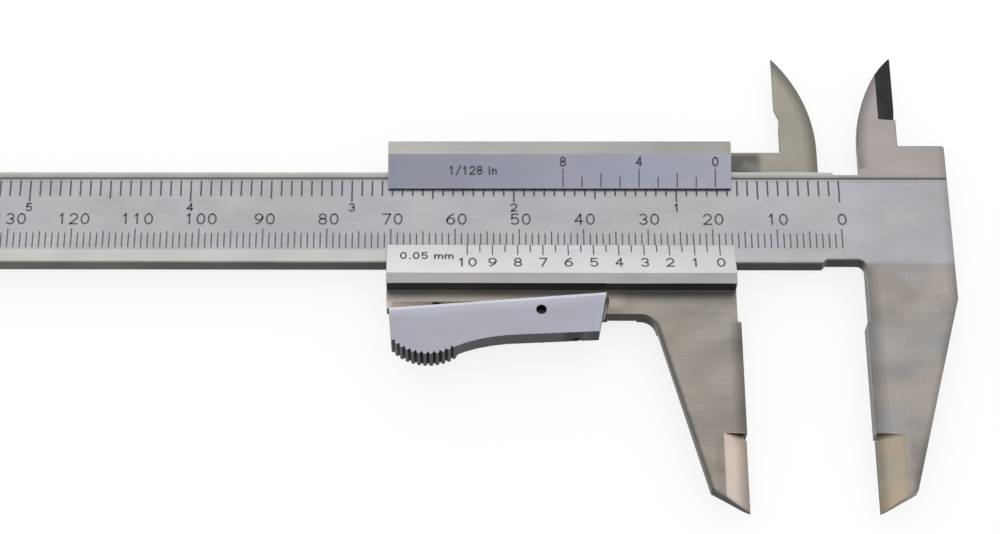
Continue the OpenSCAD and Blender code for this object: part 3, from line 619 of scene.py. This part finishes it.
class Cuts:
    """Filled lines and numbers gathered into one mesh.

    Every cut is a closed bar with its top a little over the metal and its foot under it.
    """

    def __init__(self, surface, bold=False):
        sizes = bpy.context.scene.caliper_scales
        self.surface = surface
        self.width = sizes.bold_width if bold else sizes.cut_width
        self.rise = sizes.cut_rise
        self.depth = sizes.cut_depth
        self.points = []
        self.faces = []
        self.count = 0

    def bars(self, left, right):
        """Closed bars, given by the left and right edge of each on the face, station by station.

        Each station is a rectangle across the bar, with its top the rise over the surface and its foot
        the depth under it.
        """
        corners = np.stack([left, left, right, right], axis=2)
        lift = np.array([self.rise, -self.depth, -self.depth, self.rise])
        height = self.surface(corners[..., 1]) + lift
        bars, stations = left.shape[:2]
        last = 4 * (stations - 1)
        caps = [[3, 2, 1, 0], [last, last + 1, last + 2, last + 3]]
        faces = np.concatenate([tube_walls(stations, 4), caps])
        first = self.count + 4 * stations * np.arange(bars)
        self.points.append(np.concatenate([corners, height[..., None]], axis=-1).reshape(-1, 3))
        self.faces.append((first[:, None, None] + faces).reshape(-1, 4))
        self.count += 4 * stations * bars

    def lines(self, x, start, end):
        """Straight cuts across the beam, half the width to either side of x, between start and end."""
        x, start, end = np.broadcast_arrays(x, start, end)
        ends = centre_y + np.sort(np.stack([start, end], axis=1), axis=1)
        half = self.width / 2
        left, right = (
            np.stack(np.broadcast_arrays(x[:, None] + side, ends), axis=2) for side in (-half, half)
        )
        self.bars(left, right)

    def stroke(self, path):
        """Cut with round ends along a path of points on the face.

        The path gets three more stations at either end, where the half width is the sine and the
        overrun the cosine of an angle, as in a half circle.
        """
        step = np.diff(path, axis=0)
        first = step[0] / np.linalg.norm(step[0])
        last = step[-1] / np.linalg.norm(step[-1])
        overrun = np.cos(ROUND_END)[:, None] * self.width / 2
        spine = np.concatenate([path[0] - first * overrun, path, path[-1] + last * overrun[::-1]])
        taper = np.concatenate([np.sin(ROUND_END), np.ones(len(path)), np.sin(ROUND_END)[::-1]])
        along = np.gradient(spine, axis=0)
        along /= np.linalg.norm(along, axis=1)[:, None]
        across = np.stack([-along[:, 1], along[:, 0]], axis=1) * (taper * self.width / 2)[:, None]
        self.bars((spine + across)[None], (spine - across)[None])

    def text(self, words, middle, foot, height):
        """Single-line engraver's lettering, centred on middle, standing on foot."""
        advance = [GLYPHS[c][1] for c in words]
        left = middle - height * (sum(advance) - LETTER_GAP) / 2
        for character, width in zip(words, advance):
            for path in GLYPHS[character][0]:
                self.stroke(np.array([left, centre_y + foot]) + path * height)
            left += width * height

    def piece(self, name, material, body):
        """The one mesh of all the cuts."""
        return put(name, np.concatenate(self.points), np.concatenate(self.faces), material, body)


def arc(middle, radii, start, end):
    """Points on an ellipse: its middle plus the radii times cosine and sine, from start to end degrees."""
    points = max(ARC_POINTS, int(abs(end - start) / ARC_STEP) + 1)
    turn = np.radians(np.linspace(start, end, points))
    return np.array(middle) + np.array(radii) * np.stack([np.cos(turn), np.sin(turn)], axis=1)


def run(*parts):
    """Points and arcs of one stroke joined end to end."""
    return np.concatenate([np.atleast_2d(p) for p in parts])


def glyphs():
    """Strokes of each character in a cell one high, with the distance to the next one."""
    wide, half = LETTER_W, LETTER_W / 2
    shapes = {
        "0": [arc((half, 0.5), (half, 0.5), 90, 450)],
        "1": [run((0.12, 0.78), (half, 1.0)), run((half, 1.0), (half, 0.0))],
        "2": [run(arc((half, 0.7), (half, 0.3), 165, -35), (0.0, 0.0)), run((0.0, 0.0), (wide, 0.0))],
        "3": [
            run(
                arc((half, 0.74), (half * 0.9, 0.26), 150, -90),
                arc((half, 0.25), (half, 0.25), 90, -150),
            )
        ],
        "4": [run((0.48, 0.0), (0.48, 1.0)), run((0.48, 1.0), (0.0, 0.3)), run((0.0, 0.3), (wide, 0.3))],
        "5": [
            run((wide * 0.92, 1.0), (0.1, 1.0)),
            run((0.1, 1.0), (0.06, 0.56)),
            arc((half, 0.32), (half, 0.32), 140, -145),
        ],
        "6": [
            arc((half, 0.31), (half, 0.31), 0, 360),
            arc((wide * 1.25, 0.31), (wide * 1.25, 0.72), 180, 108),
        ],
        "7": [run((0.0, 1.0), (wide, 1.0)), run((wide, 1.0), (0.22, 0.0))],
        "8": [arc((half, 0.76), (half * 0.86, 0.24), -90, 270), arc((half, 0.26), (half, 0.26), 90, 450)],
        "9": [
            arc((half, 0.69), (half, 0.31), 0, 360),
            arc((-wide * 0.25, 0.69), (wide * 1.25, 0.72), 0, -72),
        ],
        "/": [run((0.0, -0.05), (wide * 0.8, 1.05))],
        ".": [run((0.1, 0.0), (0.13, 0.02))],
        "i": [run((0.1, 0.0), (0.1, 0.62)), run((0.1, 0.86), (0.1, 0.9))],
        "n": [run((0.0, 0.0), (0.0, 0.62)), run(arc((0.25, 0.37), (0.25, 0.25), 180, 0), (0.5, 0.0))],
        "m": [
            run((0.0, 0.0), (0.0, 0.62)),
            run(arc((0.23, 0.37), (0.23, 0.25), 180, 0), (0.46, 0.0)),
            run(arc((0.69, 0.37), (0.23, 0.25), 180, 0), (0.92, 0.0)),
        ],
        " ": [],
    }
    widths = {"/": 0.55, ".": 0.2, "i": 0.2, "n": 0.5, "m": 0.92, " ": 0.25}
    return {c: (strokes, widths.get(c, wide) + LETTER_GAP) for c, strokes in shapes.items()}


GLYPHS = glyphs()


def round_jaw(shader, front, face_x, way, limit, lights, widths):
    """Paints shade on an outside jaw's front face along its edges, standing in for the shade on edges that
    polishing has rounded over.

    The jaw has its measuring face at face_x and widens towards way, 1 or -1 along X. The three edges
    run down the measuring face, along the tip and up the sloping side, or back again on the jaw that
    widens towards -X, so that the jaw always lies on their left. Nothing changes above the limit.
    """
    tip = Vector((face_x, -JAW_REACH))
    shoulder = tip + Vector((way * JAW_TIP_W, JAW_TIP_H))
    top = tip + Vector((0, JAW_REACH))
    root = shoulder + JAW_REACH * Vector((way * JAW_FLARE, 1))
    corners = (top, tip, shoulder, root)
    below = shader.both(front, shader.under(shader.y, limit, 2))
    for start, end, light, width in zip(corners[:-1], corners[1:], lights, widths):
        edge = shader.beside(start, end, width) if way > 0 else shader.beside(end, start, width)
        shader.shade(shader.both(below, edge), light)


class CALIPER_OT_beam(bpy.types.Operator):
    """Finishes the beam with its satin scale face, bright land and ground jaws"""

    bl_idname = "caliper.beam"
    bl_label = "Beam and fixed jaws"

    def execute(self, context):
        look = context.scene.caliper_finishes
        zero = -context.scene.caliper_scales.zero_inset / MM
        face = beam_face / MM
        right_end = in_mm(beam_high).x
        long_line = 6.72
        land_top = -5.84
        satin_foot = -8.05
        soft = 0.06
        shader = Shader("beam_metal")
        x, y, z = shader.x, shader.y, shader.z
        step, under, between = shader.step, shader.under, shader.between
        both, shade = shader.both, shader.shade

        front = both(shader.level(), step(z, face - 0.05, 0.02))
        on_beam = under(x, zero - 0.15, soft)
        over_foot = shader.math("SUBTRACT", y, shader.number_blend(on_beam, satin_foot, land_top))
        over_jaw = shader.number_blend(on_beam, step(over_foot, 0.0, 0.9), 1.0)
        satin = both(front, over_jaw, under(y, long_line, soft))
        left_of_jaw = shader.number_blend(step(x, -20, 8), 1.0, 0.15)
        land = both(front, on_beam, under(y, land_top, soft), left_of_jaw)
        top = both(on_beam, step(y, long_line, soft))
        slanted = shader.slanted()
        knife = both(slanted, under(y, KNIFE_TOP, soft))
        blacked = both(slanted, step(y, 12, soft))
        head = both(step(x, zero - 0.2, soft), step(y, 7, soft))
        shader.colour = shader.clouded(look.jaw, 0.15, 0.035, direction="Y")
        for share, paint, cloud, tint in (
            (head, look.head, 0.06, 0.03),
            (top, look.top_land, 0.05, 0.02),
            (satin, look.satin, 0.07, 0.02),
            (land, look.land, 0.05, 0.02),
            (knife, look.fixed_knife, 0.08, 0.04),
            (blacked, look.blacked, 0.3, 0.02),
        ):
            shader.paint(share, shader.clouded(paint, cloud, tint, streak=0.015))

        # Painted shade on the front faces. over_line is a painted shadow over the long cut line. right_edge,
        # knife_left, knife_right, beside_knife and inside_back are painted shade along the head's right edge,
        # on and beside the knife edge's bevel, and along the inside jaw's arc. The jaw's edges get painted
        # shade too. on_head and along_line make the satin darker on the head and along the long line.
        on_head = both(satin, step(x, 1, 6))
        over_line = both(top, under(y, 7.3, 1.2))
        along_line = both(front, between(y, 6.1, 7.3, 0.8))
        right_edge = both(front, step(x, right_end - 0.8, 1.6), step(y, -14, 3))
        right_light = shader.number_blend(under(y, -8, 3), 0.8, 0.68)
        knife_left = both(knife, under(x, 1.2, 1.6))
        knife_right = both(knife, step(x, 3.9, 1.2))
        beside_knife = both(front, step(x, 5.3, 2.4), under(y, -38, 4))
        arc_middle = INSIDE_OFFSET + INSIDE_R - INSIDE_ROOT_W
        inside_back = both(front, shader.around(arc_middle, 2), step(y, 8.5, 0.6))
        shade(on_head, light=0.93)
        shade(over_line, light=0.72)
        shade(along_line, light=0.88)
        round_jaw(shader, front, 0, 1, limit=-8.5, lights=(0.6, 0.6, 0.7), widths=(3, 0.4, 1.2))
        shade(right_edge, right_light)
        shade(knife_left, light=0.66)
        shade(knife_right, light=0.86)
        shade(beside_knife, light=0.66)
        shade(inside_back, light=0.6)

        # Painted shade on the side walls below the face's edge, deepest on the beam's lower edge and less
        # deep towards its far end.
        lower_edge = both(shader.downward(), step(y, -20, soft))
        shadowed = shader.number_blend(step(x, -90, 100), look.far_wall, look.low_wall)
        walls = both(shader.upright(), under(z, face - 0.35, 0.2))
        shade(walls, shader.number_blend(lower_edge, shader.wall_light(look), shadowed))
        cut_wall = between(z, face - 0.14, face - 0.03, 0.01)
        shader.paint(both(between(y, 6.55, 6.9, 0.02), cut_wall), tuple(look.groove))
        shader.finish(0.36, "Y")
        dress("main_beam", shader.material, shader.material, look.edge)
        return {"FINISHED"}


class CALIPER_OT_slider(bpy.types.Operator):
    """Finishes the slider frame with the moving jaws"""

    bl_idname = "caliper.slider"
    bl_label = "Slider and moving jaws"

    def execute(self, context):
        look = context.scene.caliper_finishes
        face_x = -opening / MM
        soft = 0.3
        shader = Shader("slider_metal")
        x, y, z = shader.x, shader.y, shader.z
        step, under, between = shader.step, shader.under, shader.between
        both, shade = shader.both, shader.shade

        above = step(y, 7.9, soft)
        knife = both(shader.slanted(), under(y, KNIFE_TOP, soft))
        shader.colour = shader.clouded(look.slider, 0.14, 0.035, 0.05)
        shader.paint(above, shader.clouded(look.slider_top, 0.06, 0.03, 0.03, "Y"))
        shader.paint(knife, shader.clouded(look.moving_knife, 0.05, 0.03, 0.01, "Y"))

        # Painted shadow on the arm beside the slider's end, made uneven by noise. Painted shade along the
        # moving jaw's edges, along the inside jaw's arc and beside the knife edge's bevel. Painted light on
        # the face under the metric plate.
        shadow_mottle = step(shader.noise([2.6] * 3, detail=3.0, shift=6.4), 0.45, 0.3)
        arm = both(between(y, 8.2, 12, 1.4), under(x, -14.7, 1.4))
        arm_shadow = both(arm, shader.spread(shadow_mottle, 0.6, 1.0))
        front = shader.level()
        arc_middle = face_x + INSIDE_OFFSET + INSIDE_ROOT_W - INSIDE_R
        inside_back = both(shader.around(arc_middle, 2.2), above, step(shader.facing, 0.3, 0.2))
        under_plate = both(front, between(y, -15.6, -12.9, 1.4), under(x, -37, 2))
        beside_knife = both(front, between(x, -23.9, -22.7, 0.8), under(y, -37, 2))
        shade(arm_shadow, light=0.36)
        round_jaw(shader, front, face_x, -1, limit=-18, lights=(0.47, 0.5, 0.3), widths=(2.4, 0.5, 0.8))
        shade(inside_back, light=0.5)
        shade(under_plate, light=1.5)
        shade(beside_knife, light=0.85)

        # Painted shade on the side walls, deepest on those towards the jaws' tips and on the outer left ones.
        # The walls and floor of the lever's seat get painted light.
        walls = shader.upright()
        left = both(under(x, -36.6, 0.1), step(z, -0.95, 0.06))
        recess = both(left, between(y, -16.7, -13.9, 0.1))
        seat = both(recess, walls)
        seat_floor = both(recess, under(z, 1.2, 0.3), shader.rest_of(walls))
        outer_left = both(under(shader.side_x, -0.6, 0.2), under(y, -16, soft))
        shadowed = shader.math("MAXIMUM", shader.downward(-0.3), outer_left)
        light = shader.number_blend(shadowed, shader.wall_light(look), look.low_wall)
        shade(both(walls, shader.rest_of(seat)), light)
        shade(seat, look.seat_wall)
        shade(seat_floor, look.seat_wall)
        shader.finish(0.36)
        dress("slider_body", shader.material, shader.material, look.edge)
        return {"FINISHED"}


class CALIPER_OT_plates(bpy.types.Operator):
    """Finishes the two vernier plates"""

    bl_idname = "caliper.plates"
    bl_label = "Vernier plates"

    def execute(self, context):
        look = context.scene.caliper_finishes
        self.plate(
            look, "inch_vernier_plate", look.inch_plate, look.inch_flat,
            bevel_ends=(0.79, 1.06), bevel_sides=(1.0, 1.0), flat_ends=(1.06, 0.82),
        )
        self.plate(
            look, "mm_vernier_plate", look.mm_plate, look.mm_flat,
            bevel_ends=(1.03, 0.9), bevel_sides=(1.06, 0.9), flat_ends=(1.0, 0.94),
        )
        return {"FINISHED"}

    def plate(self, look, node, bevel, flat, bevel_ends, bevel_sides, flat_ends):
        """Satin bevel and ground flat strip with painted light that drifts from side to side, and painted
        shade on the thin walls.
        """
        low, high = (in_mm(corner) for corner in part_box(node))
        shader = Shader(node + "_metal")
        along = shader.ramp(shader.x, low.x, high.x)
        across = shader.ramp(shader.y, low.y, high.y)
        bevel_light = shader.both(shader.spread(along, *bevel_ends), shader.spread(across, *bevel_sides))
        on_bevel = shader.scaled(shader.clouded(bevel, 0.03, 0.015, 0.01), bevel_light)
        on_flat = shader.scaled(shader.clouded(flat, 0.06, 0.03), shader.spread(along, *flat_ends))
        shader.colour = shader.blend(shader.step(shader.facing, 0.975, 0.01), on_bevel, on_flat)
        # Painted shade on the thin walls, darkest on those that face towards the jaws' tips.
        wall_light = shader.number_blend(shader.downward(), look.top_wall, look.low_wall)
        shader.shade(shader.upright(), wall_light)
        shader.finish(0.4)
        dress(node, shader.material, edge_metal(node + "_edges", bevel), look.edge)


class CALIPER_OT_lever(bpy.types.Operator):
    """Finishes the thumb lever"""

    bl_idname = "caliper.lever"
    bl_label = "Thumb lever"

    def execute(self, context):
        look = context.scene.caliper_finishes
        tilt = math.radians(look.lever_tilt)
        along = Vector((math.cos(tilt), math.sin(tilt)))
        down = Vector((math.sin(tilt), -math.cos(tilt)))
        top_right = in_mm(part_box("thumb_lever")[1])
        end_lean, end_height = 1.8, 6.5
        heel = top_right - end_lean * along + end_height * down
        screw_low, screw_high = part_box("lever_adjusting_screw")
        screw_x = in_mm((screw_low + screw_high) / 2).x
        shader = Shader("lever_metal")
        shader.colour = shader.clouded(look.lever, 0.05, 0.02, 0.02)
        # Painted highlights along the lever's top edge and along its right end.
        shader.shade(shader.beside(top_right, top_right - along, 2.2), look.rim)
        shader.shade(shader.beside(heel, top_right, 1.0), look.rim)

        # Painted shade on the underside by the adjusting screw and at the right end. Then painted shade on
        # the walls, except those that face away from the tips, which get painted light.
        walls = shader.upright()
        underside = shader.both(walls, shader.downward())
        shadowed = shader.between(shader.x, screw_x - 1.6, screw_x + 1.2, 1.2)
        right_end = shader.step(shader.x, top_right.x - 2.6, 1.6)
        shader.shade(shader.both(underside, shadowed), light=0.2)
        shader.shade(shader.both(underside, right_end), light=0.4)
        bright = 1.5
        shader.shade(walls, shader.number_blend(shader.step(shader.side_y, 0.5, 0.2), look.slot_wall, bright))
        shader.finish(0.4)
        dress("thumb_lever", shader.material, shader.material, look.edge / 2)
        return {"FINISHED"}


class CALIPER_OT_small_parts(bpy.types.Operator):
    """Finishes the screws, pins, gib, depth bar, spring, washer and brake"""

    bl_idname = "caliper.small_parts"
    bl_label = "Small parts"

    def execute(self, context):
        look = context.scene.caliper_finishes
        fine = look.edge / 2
        dark = metal("oiled_steel", look.dark, 0.32, cloud=0.15)
        dark_edge = edge_metal("oiled_steel_edges", shaded(look.dark, 0.6))
        steel = metal("ground_bar_steel", look.jaw, 0.3)
        steel_edge = edge_metal("ground_bar_edges", look.jaw)
        brass = metal("strip_brass", look.brass, 0.34, cloud=0.08)
        brass_edge = edge_metal("strip_brass_edges", look.brass)
        dark_nodes = (
            "end_stop_screws", "inch_plate_screws", "mm_plate_screws", "gib_screws", "depth_bar_screws",
            "lever_pin", "lever_adjusting_screw",
        )
        for node in dark_nodes:
            dress(node, dark, dark_edge, fine)
        for node in ("end_stop_plate", "depth_bar", "brake_plunger"):
            dress(node, steel, steel_edge, look.edge)
        for node in ("gib_strip", "lever_washer", "brake_shoe"):
            dress(node, brass, brass_edge, fine)
        self.spring(metal("spring_wire", look.jaw, 0.25), math.radians(look.lever_tilt))
        return {"FINISHED"}

    def spring(self, material, tilt):
        """Coil spring that the lever presses together against the end of its bore.
        """
        low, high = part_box("lever_spring")
        piece = put("lever_coil", *coil(low, high), material, "slider", "spring_steel")
        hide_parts("lever_spring")
        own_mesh(piece)


def ink(look):
    """Dull black filling, a little worn to grey in places."""
    shader = Shader("scale_ink")
    worn = shader.noise([1.4] * 3, detail=3.0)
    filling = shader.blend(worn, shaded(look.ink, -0.4), shaded(look.ink, 0.9))
    shader.join(filling, shader.surface.inputs["Base Color"])
    shader.join(shader.spread(worn, 0.5, 0.7), shader.surface.inputs["Roughness"])
    return shader.material


def cut_scale(name, body, filling, face, zero, pitch, count, start, ends, words, bold=False):
    """Cuts one scale as two pieces, its lines and its numbers.

    Line n is n pitches to the left of zero. It runs from start to the last of the ends whose interval
    divides n. Each of the words has its text, its middle along the beam, its foot and its height.
    """
    step = np.arange(count + 1)
    end = np.zeros(count + 1)
    for interval, place in ends.items():
        end = np.where(step % interval == 0, place, end)
    cuts = Cuts(face, bold)
    cuts.lines(zero - step * pitch, start, end)
    cuts.piece(name + "_lines", filling, body)
    cuts = Cuts(face, bold=True)
    for text, middle, foot, height in words:
        cuts.text(text, middle, foot, height)
    cuts.piece(name + "_numbers", filling, body)


class CALIPER_OT_beam_scales(bpy.types.Operator):
    """Cuts the millimetre and inch scales and their numbers in the beam"""

    bl_idname = "caliper.beam_scales"
    bl_label = "Beam scales"

    def execute(self, context):
        sizes = context.scene.caliper_scales
        filling = ink(context.scene.caliper_finishes)
        face = flat_surface(beam_face)
        zero = -sizes.zero_inset

        ends = {1: sizes.mm_short, 5: sizes.mm_middle, 10: sizes.mm_long}
        words = [
            (str(ten), zero + sizes.number_shift - ten * MM, sizes.mm_digit_y, sizes.mm_digit)
            for ten in range(0, sizes.mm_count + 1, 10)
        ]
        metric = (zero, MM, sizes.mm_count, sizes.mm_low, ends)
        cut_scale("beam_millimetre", "beam", filling, face, *metric, words)

        parts = sizes.inch_parts
        ends = {1: sizes.inch_short, parts // 2: sizes.inch_middle, parts: sizes.inch_long}
        words = [
            (str(inch), zero - inch * INCH, sizes.inch_digit_y, sizes.inch_digit)
            for inch in range(1, sizes.inch_count + 1)
        ]
        inches = (zero, INCH / parts, sizes.inch_count * parts, sizes.inch_high, ends)
        cut_scale("beam_inch", "beam", filling, face, *inches, words, bold=True)
        return {"FINISHED"}


class CALIPER_OT_vernier_scales(bpy.types.Operator):
    """Cuts the two verniers, their numbers and their units in the plates"""

    bl_idname = "caliper.vernier_scales"
    bl_label = "Vernier scales"

    def execute(self, context):
        sizes = context.scene.caliper_verniers
        filling = ink(context.scene.caliper_finishes)
        zero = -context.scene.caliper_scales.zero_inset - opening
        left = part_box("mm_vernier_plate")[0].x

        face = bevel_surface("mm_vernier_plate", near=-5.5 * MM, far=-10.5 * MM)
        pitch = sizes.mm_span / sizes.mm_parts
        ends = {1: sizes.mm_short, 2: sizes.mm_long}
        words = [
            (str(part // 2), zero - part * pitch, sizes.mm_digit_y, sizes.mm_digit)
            for part in range(0, sizes.mm_parts + 1, 2)
        ]
        words.append(("0.05 mm", left + sizes.mm_unit_x, sizes.mm_unit_y, sizes.mm_unit))
        metric = (zero, pitch, sizes.mm_parts, sizes.mm_start, ends)
        cut_scale("mm_vernier", "slider", filling, face, *metric, words)

        face = bevel_surface("inch_vernier_plate", near=5.6 * MM, far=9.0 * MM)
        pitch = sizes.inch_span * INCH / sizes.inch_parts
        zero -= sizes.inch_shift
        ends = {1: sizes.inch_short, 2: sizes.inch_middle, 4: sizes.inch_long}
        words = [
            (str(part), zero - part * pitch, sizes.inch_digit_y, sizes.inch_digit)
            for part in range(0, sizes.inch_parts + 1, 4)
        ]
        words.append(("1/128 in", left + sizes.inch_unit_x, sizes.inch_unit_y, sizes.inch_unit))
        inches = (zero, pitch, sizes.inch_parts, sizes.inch_start, ends)
        cut_scale("inch_vernier", "slider", filling, face, *inches, words)
        return {"FINISHED"}


class CALIPER_OT_stage(bpy.types.Operator):
    """Sets up the camera, two softboxes, the sky and a white floor"""

    bl_idname = "caliper.stage"
    bl_label = "Camera, lamps and floor"

    def execute(self, context):
        stage = context.scene.caliper_stage
        self.camera(context.scene, stage)
        for name, offset, size, power in SOFTBOXES:
            self.lamp(context.scene, name, Vector(offset), size, getattr(stage, power))
        self.sky(context.scene, stage.sky)
        self.floor(context.scene)
        context.scene.view_settings.view_transform = "Standard"
        return {"FINISHED"}

    def camera(self, scene, stage):
        """Camera whose axes are the beam's, tipped by the tilt about X, then swung and rolled."""
        tilt, swing, roll = (math.radians(a) for a in (stage.tilt, stage.swing, stage.roll))
        right = Vector((1, 0, 0))
        up = Vector((0, math.cos(tilt), math.sin(tilt)))
        back = Vector((0, -math.sin(tilt), math.cos(tilt)))
        right, back = self.turned(right, back, swing)
        right, up = self.turned(right, up, roll)
        camera = bpy.data.objects.new("camera", bpy.data.cameras.new("camera"))
        given(camera.data, lens=stage.lens, sensor_width=SENSOR_W, shift_x=stage.shift)
        place = Matrix((right, up, back)).transposed().to_4x4()
        place.translation = Vector((stage.camera_x, stage.camera_y, stage.camera_z))
        camera.matrix_world = place
        scene.collection.objects.link(camera)
        scene.camera = camera

    def turned(self, first, second, angle):
        """Two axes turned in their own plane, the first one towards the second."""
        cosine, sine = math.cos(angle), math.sin(angle)
        return cosine * first + sine * second, cosine * second - sine * first

    def lamp(self, scene, name, offset, size, power):
        """Rectangular softbox that faces the caliper."""
        light = bpy.data.lights.new(name, "AREA")
        given(light, shape="RECTANGLE", size=size[0], size_y=size[1], energy=power)
        lamp = bpy.data.objects.new(name, light)
        lamp.location = Vector((AIM_X, centre_y, 0)) + offset
        lamp.rotation_euler = (-offset).to_track_quat("-Z", "Y").to_euler()
        scene.collection.objects.link(lamp)

    def sky(self, scene, strength):
        """Plain white sky all round, which the metals reflect."""
        world = bpy.data.worlds.new("sky")
        world.use_nodes = True
        background = world.node_tree.nodes["Background"]
        background.inputs["Color"].default_value = (1, 1, 1, 1)
        background.inputs["Strength"].default_value = strength
        scene.world = world

    def floor(self, scene):
        """Wide white floor under the slider's back, which cameras and gloss see brighter."""
        corners = FLOOR_HALF * np.array([[-1, -1], [1, -1], [1, 1], [-1, 1]])
        points = np.column_stack([corners, np.full(4, rest_low)])
        mesh = bpy.data.meshes.new("floor")
        mesh.from_pydata(points.tolist(), [], [[0, 1, 2, 3]])
        shader = Shader("floor_paint")
        shader.surface.inputs["Base Color"].default_value = (FLOOR_WHITE, FLOOR_WHITE, FLOOR_WHITE, 1)
        shader.surface.inputs["Roughness"].default_value = 1.0
        shader.surface.inputs["Specular IOR Level"].default_value = 0.0
        rays = shader.add("ShaderNodeLightPath")
        seen = shader.math("MAXIMUM", rays.outputs["Is Camera Ray"], rays.outputs["Is Glossy Ray"])
        glow = shader.add("ShaderNodeEmission", Strength=1.0)
        mixed = shader.add("ShaderNodeMixShader", Fac=shader.math("MULTIPLY", seen, FLOOR_GLOW))
        shader.join(shader.surface.outputs[0], mixed.inputs[1])
        shader.join(glow.outputs[0], mixed.inputs[2])
        output = next(n for n in shader.tree.nodes if n.type == "OUTPUT_MATERIAL")
        shader.join(mixed.outputs[0], output.inputs["Surface"])
        mesh.materials.append(shader.material)
        floor = bpy.data.objects.new("floor", mesh)
        scene.collection.objects.link(floor)


GROUPS = {
    "caliper_scales": CaliperScales,
    "caliper_verniers": CaliperVerniers,
    "caliper_finishes": CaliperFinishes,
    "caliper_stage": CaliperStage,
}
OPERATORS = (
    CALIPER_OT_stage,
    CALIPER_OT_beam_scales,
    CALIPER_OT_vernier_scales,
    CALIPER_OT_beam,
    CALIPER_OT_slider,
    CALIPER_OT_plates,
    CALIPER_OT_lever,
    CALIPER_OT_small_parts,
)


class CALIPER_PT_panel(bpy.types.Panel):
    """Lists the steps that finish the caliper"""

    bl_idname = "CALIPER_PT_panel"
    bl_label = "Sliding caliper"
    bl_space_type = "VIEW_3D"
    bl_region_type = "UI"
    bl_category = "Caliper"

    def draw(self, context):
        for operator in OPERATORS:
            self.layout.operator(operator.bl_idname)


def register():
    """Adds the classes, and the sizes and colours to the scene, each labelled with its own name."""
    for group in GROUPS.values():
        for name, value in group.__annotations__.items():
            value.keywords["name"] = name.replace("_", " ").capitalize()
    for cls in (*GROUPS.values(), *OPERATORS, CALIPER_PT_panel):
        bpy.utils.register_class(cls)
    for name, group in GROUPS.items():
        setattr(bpy.types.Scene, name, PointerProperty(type=group))


def unregister():
    """Takes them away again."""
    for name in GROUPS:
        delattr(bpy.types.Scene, name)
    for cls in reversed((*GROUPS.values(), *OPERATORS, CALIPER_PT_panel)):
        bpy.utils.unregister_class(cls)


def main():
    """Runs every step."""
    register()
    bpy.ops.caliper.stage()
    bpy.ops.caliper.beam_scales()
    bpy.ops.caliper.vernier_scales()
    bpy.ops.caliper.beam()
    bpy.ops.caliper.slider()
    bpy.ops.caliper.plates()
    bpy.ops.caliper.lever()
    bpy.ops.caliper.small_parts()


if __name__ == "__main__":
    main()
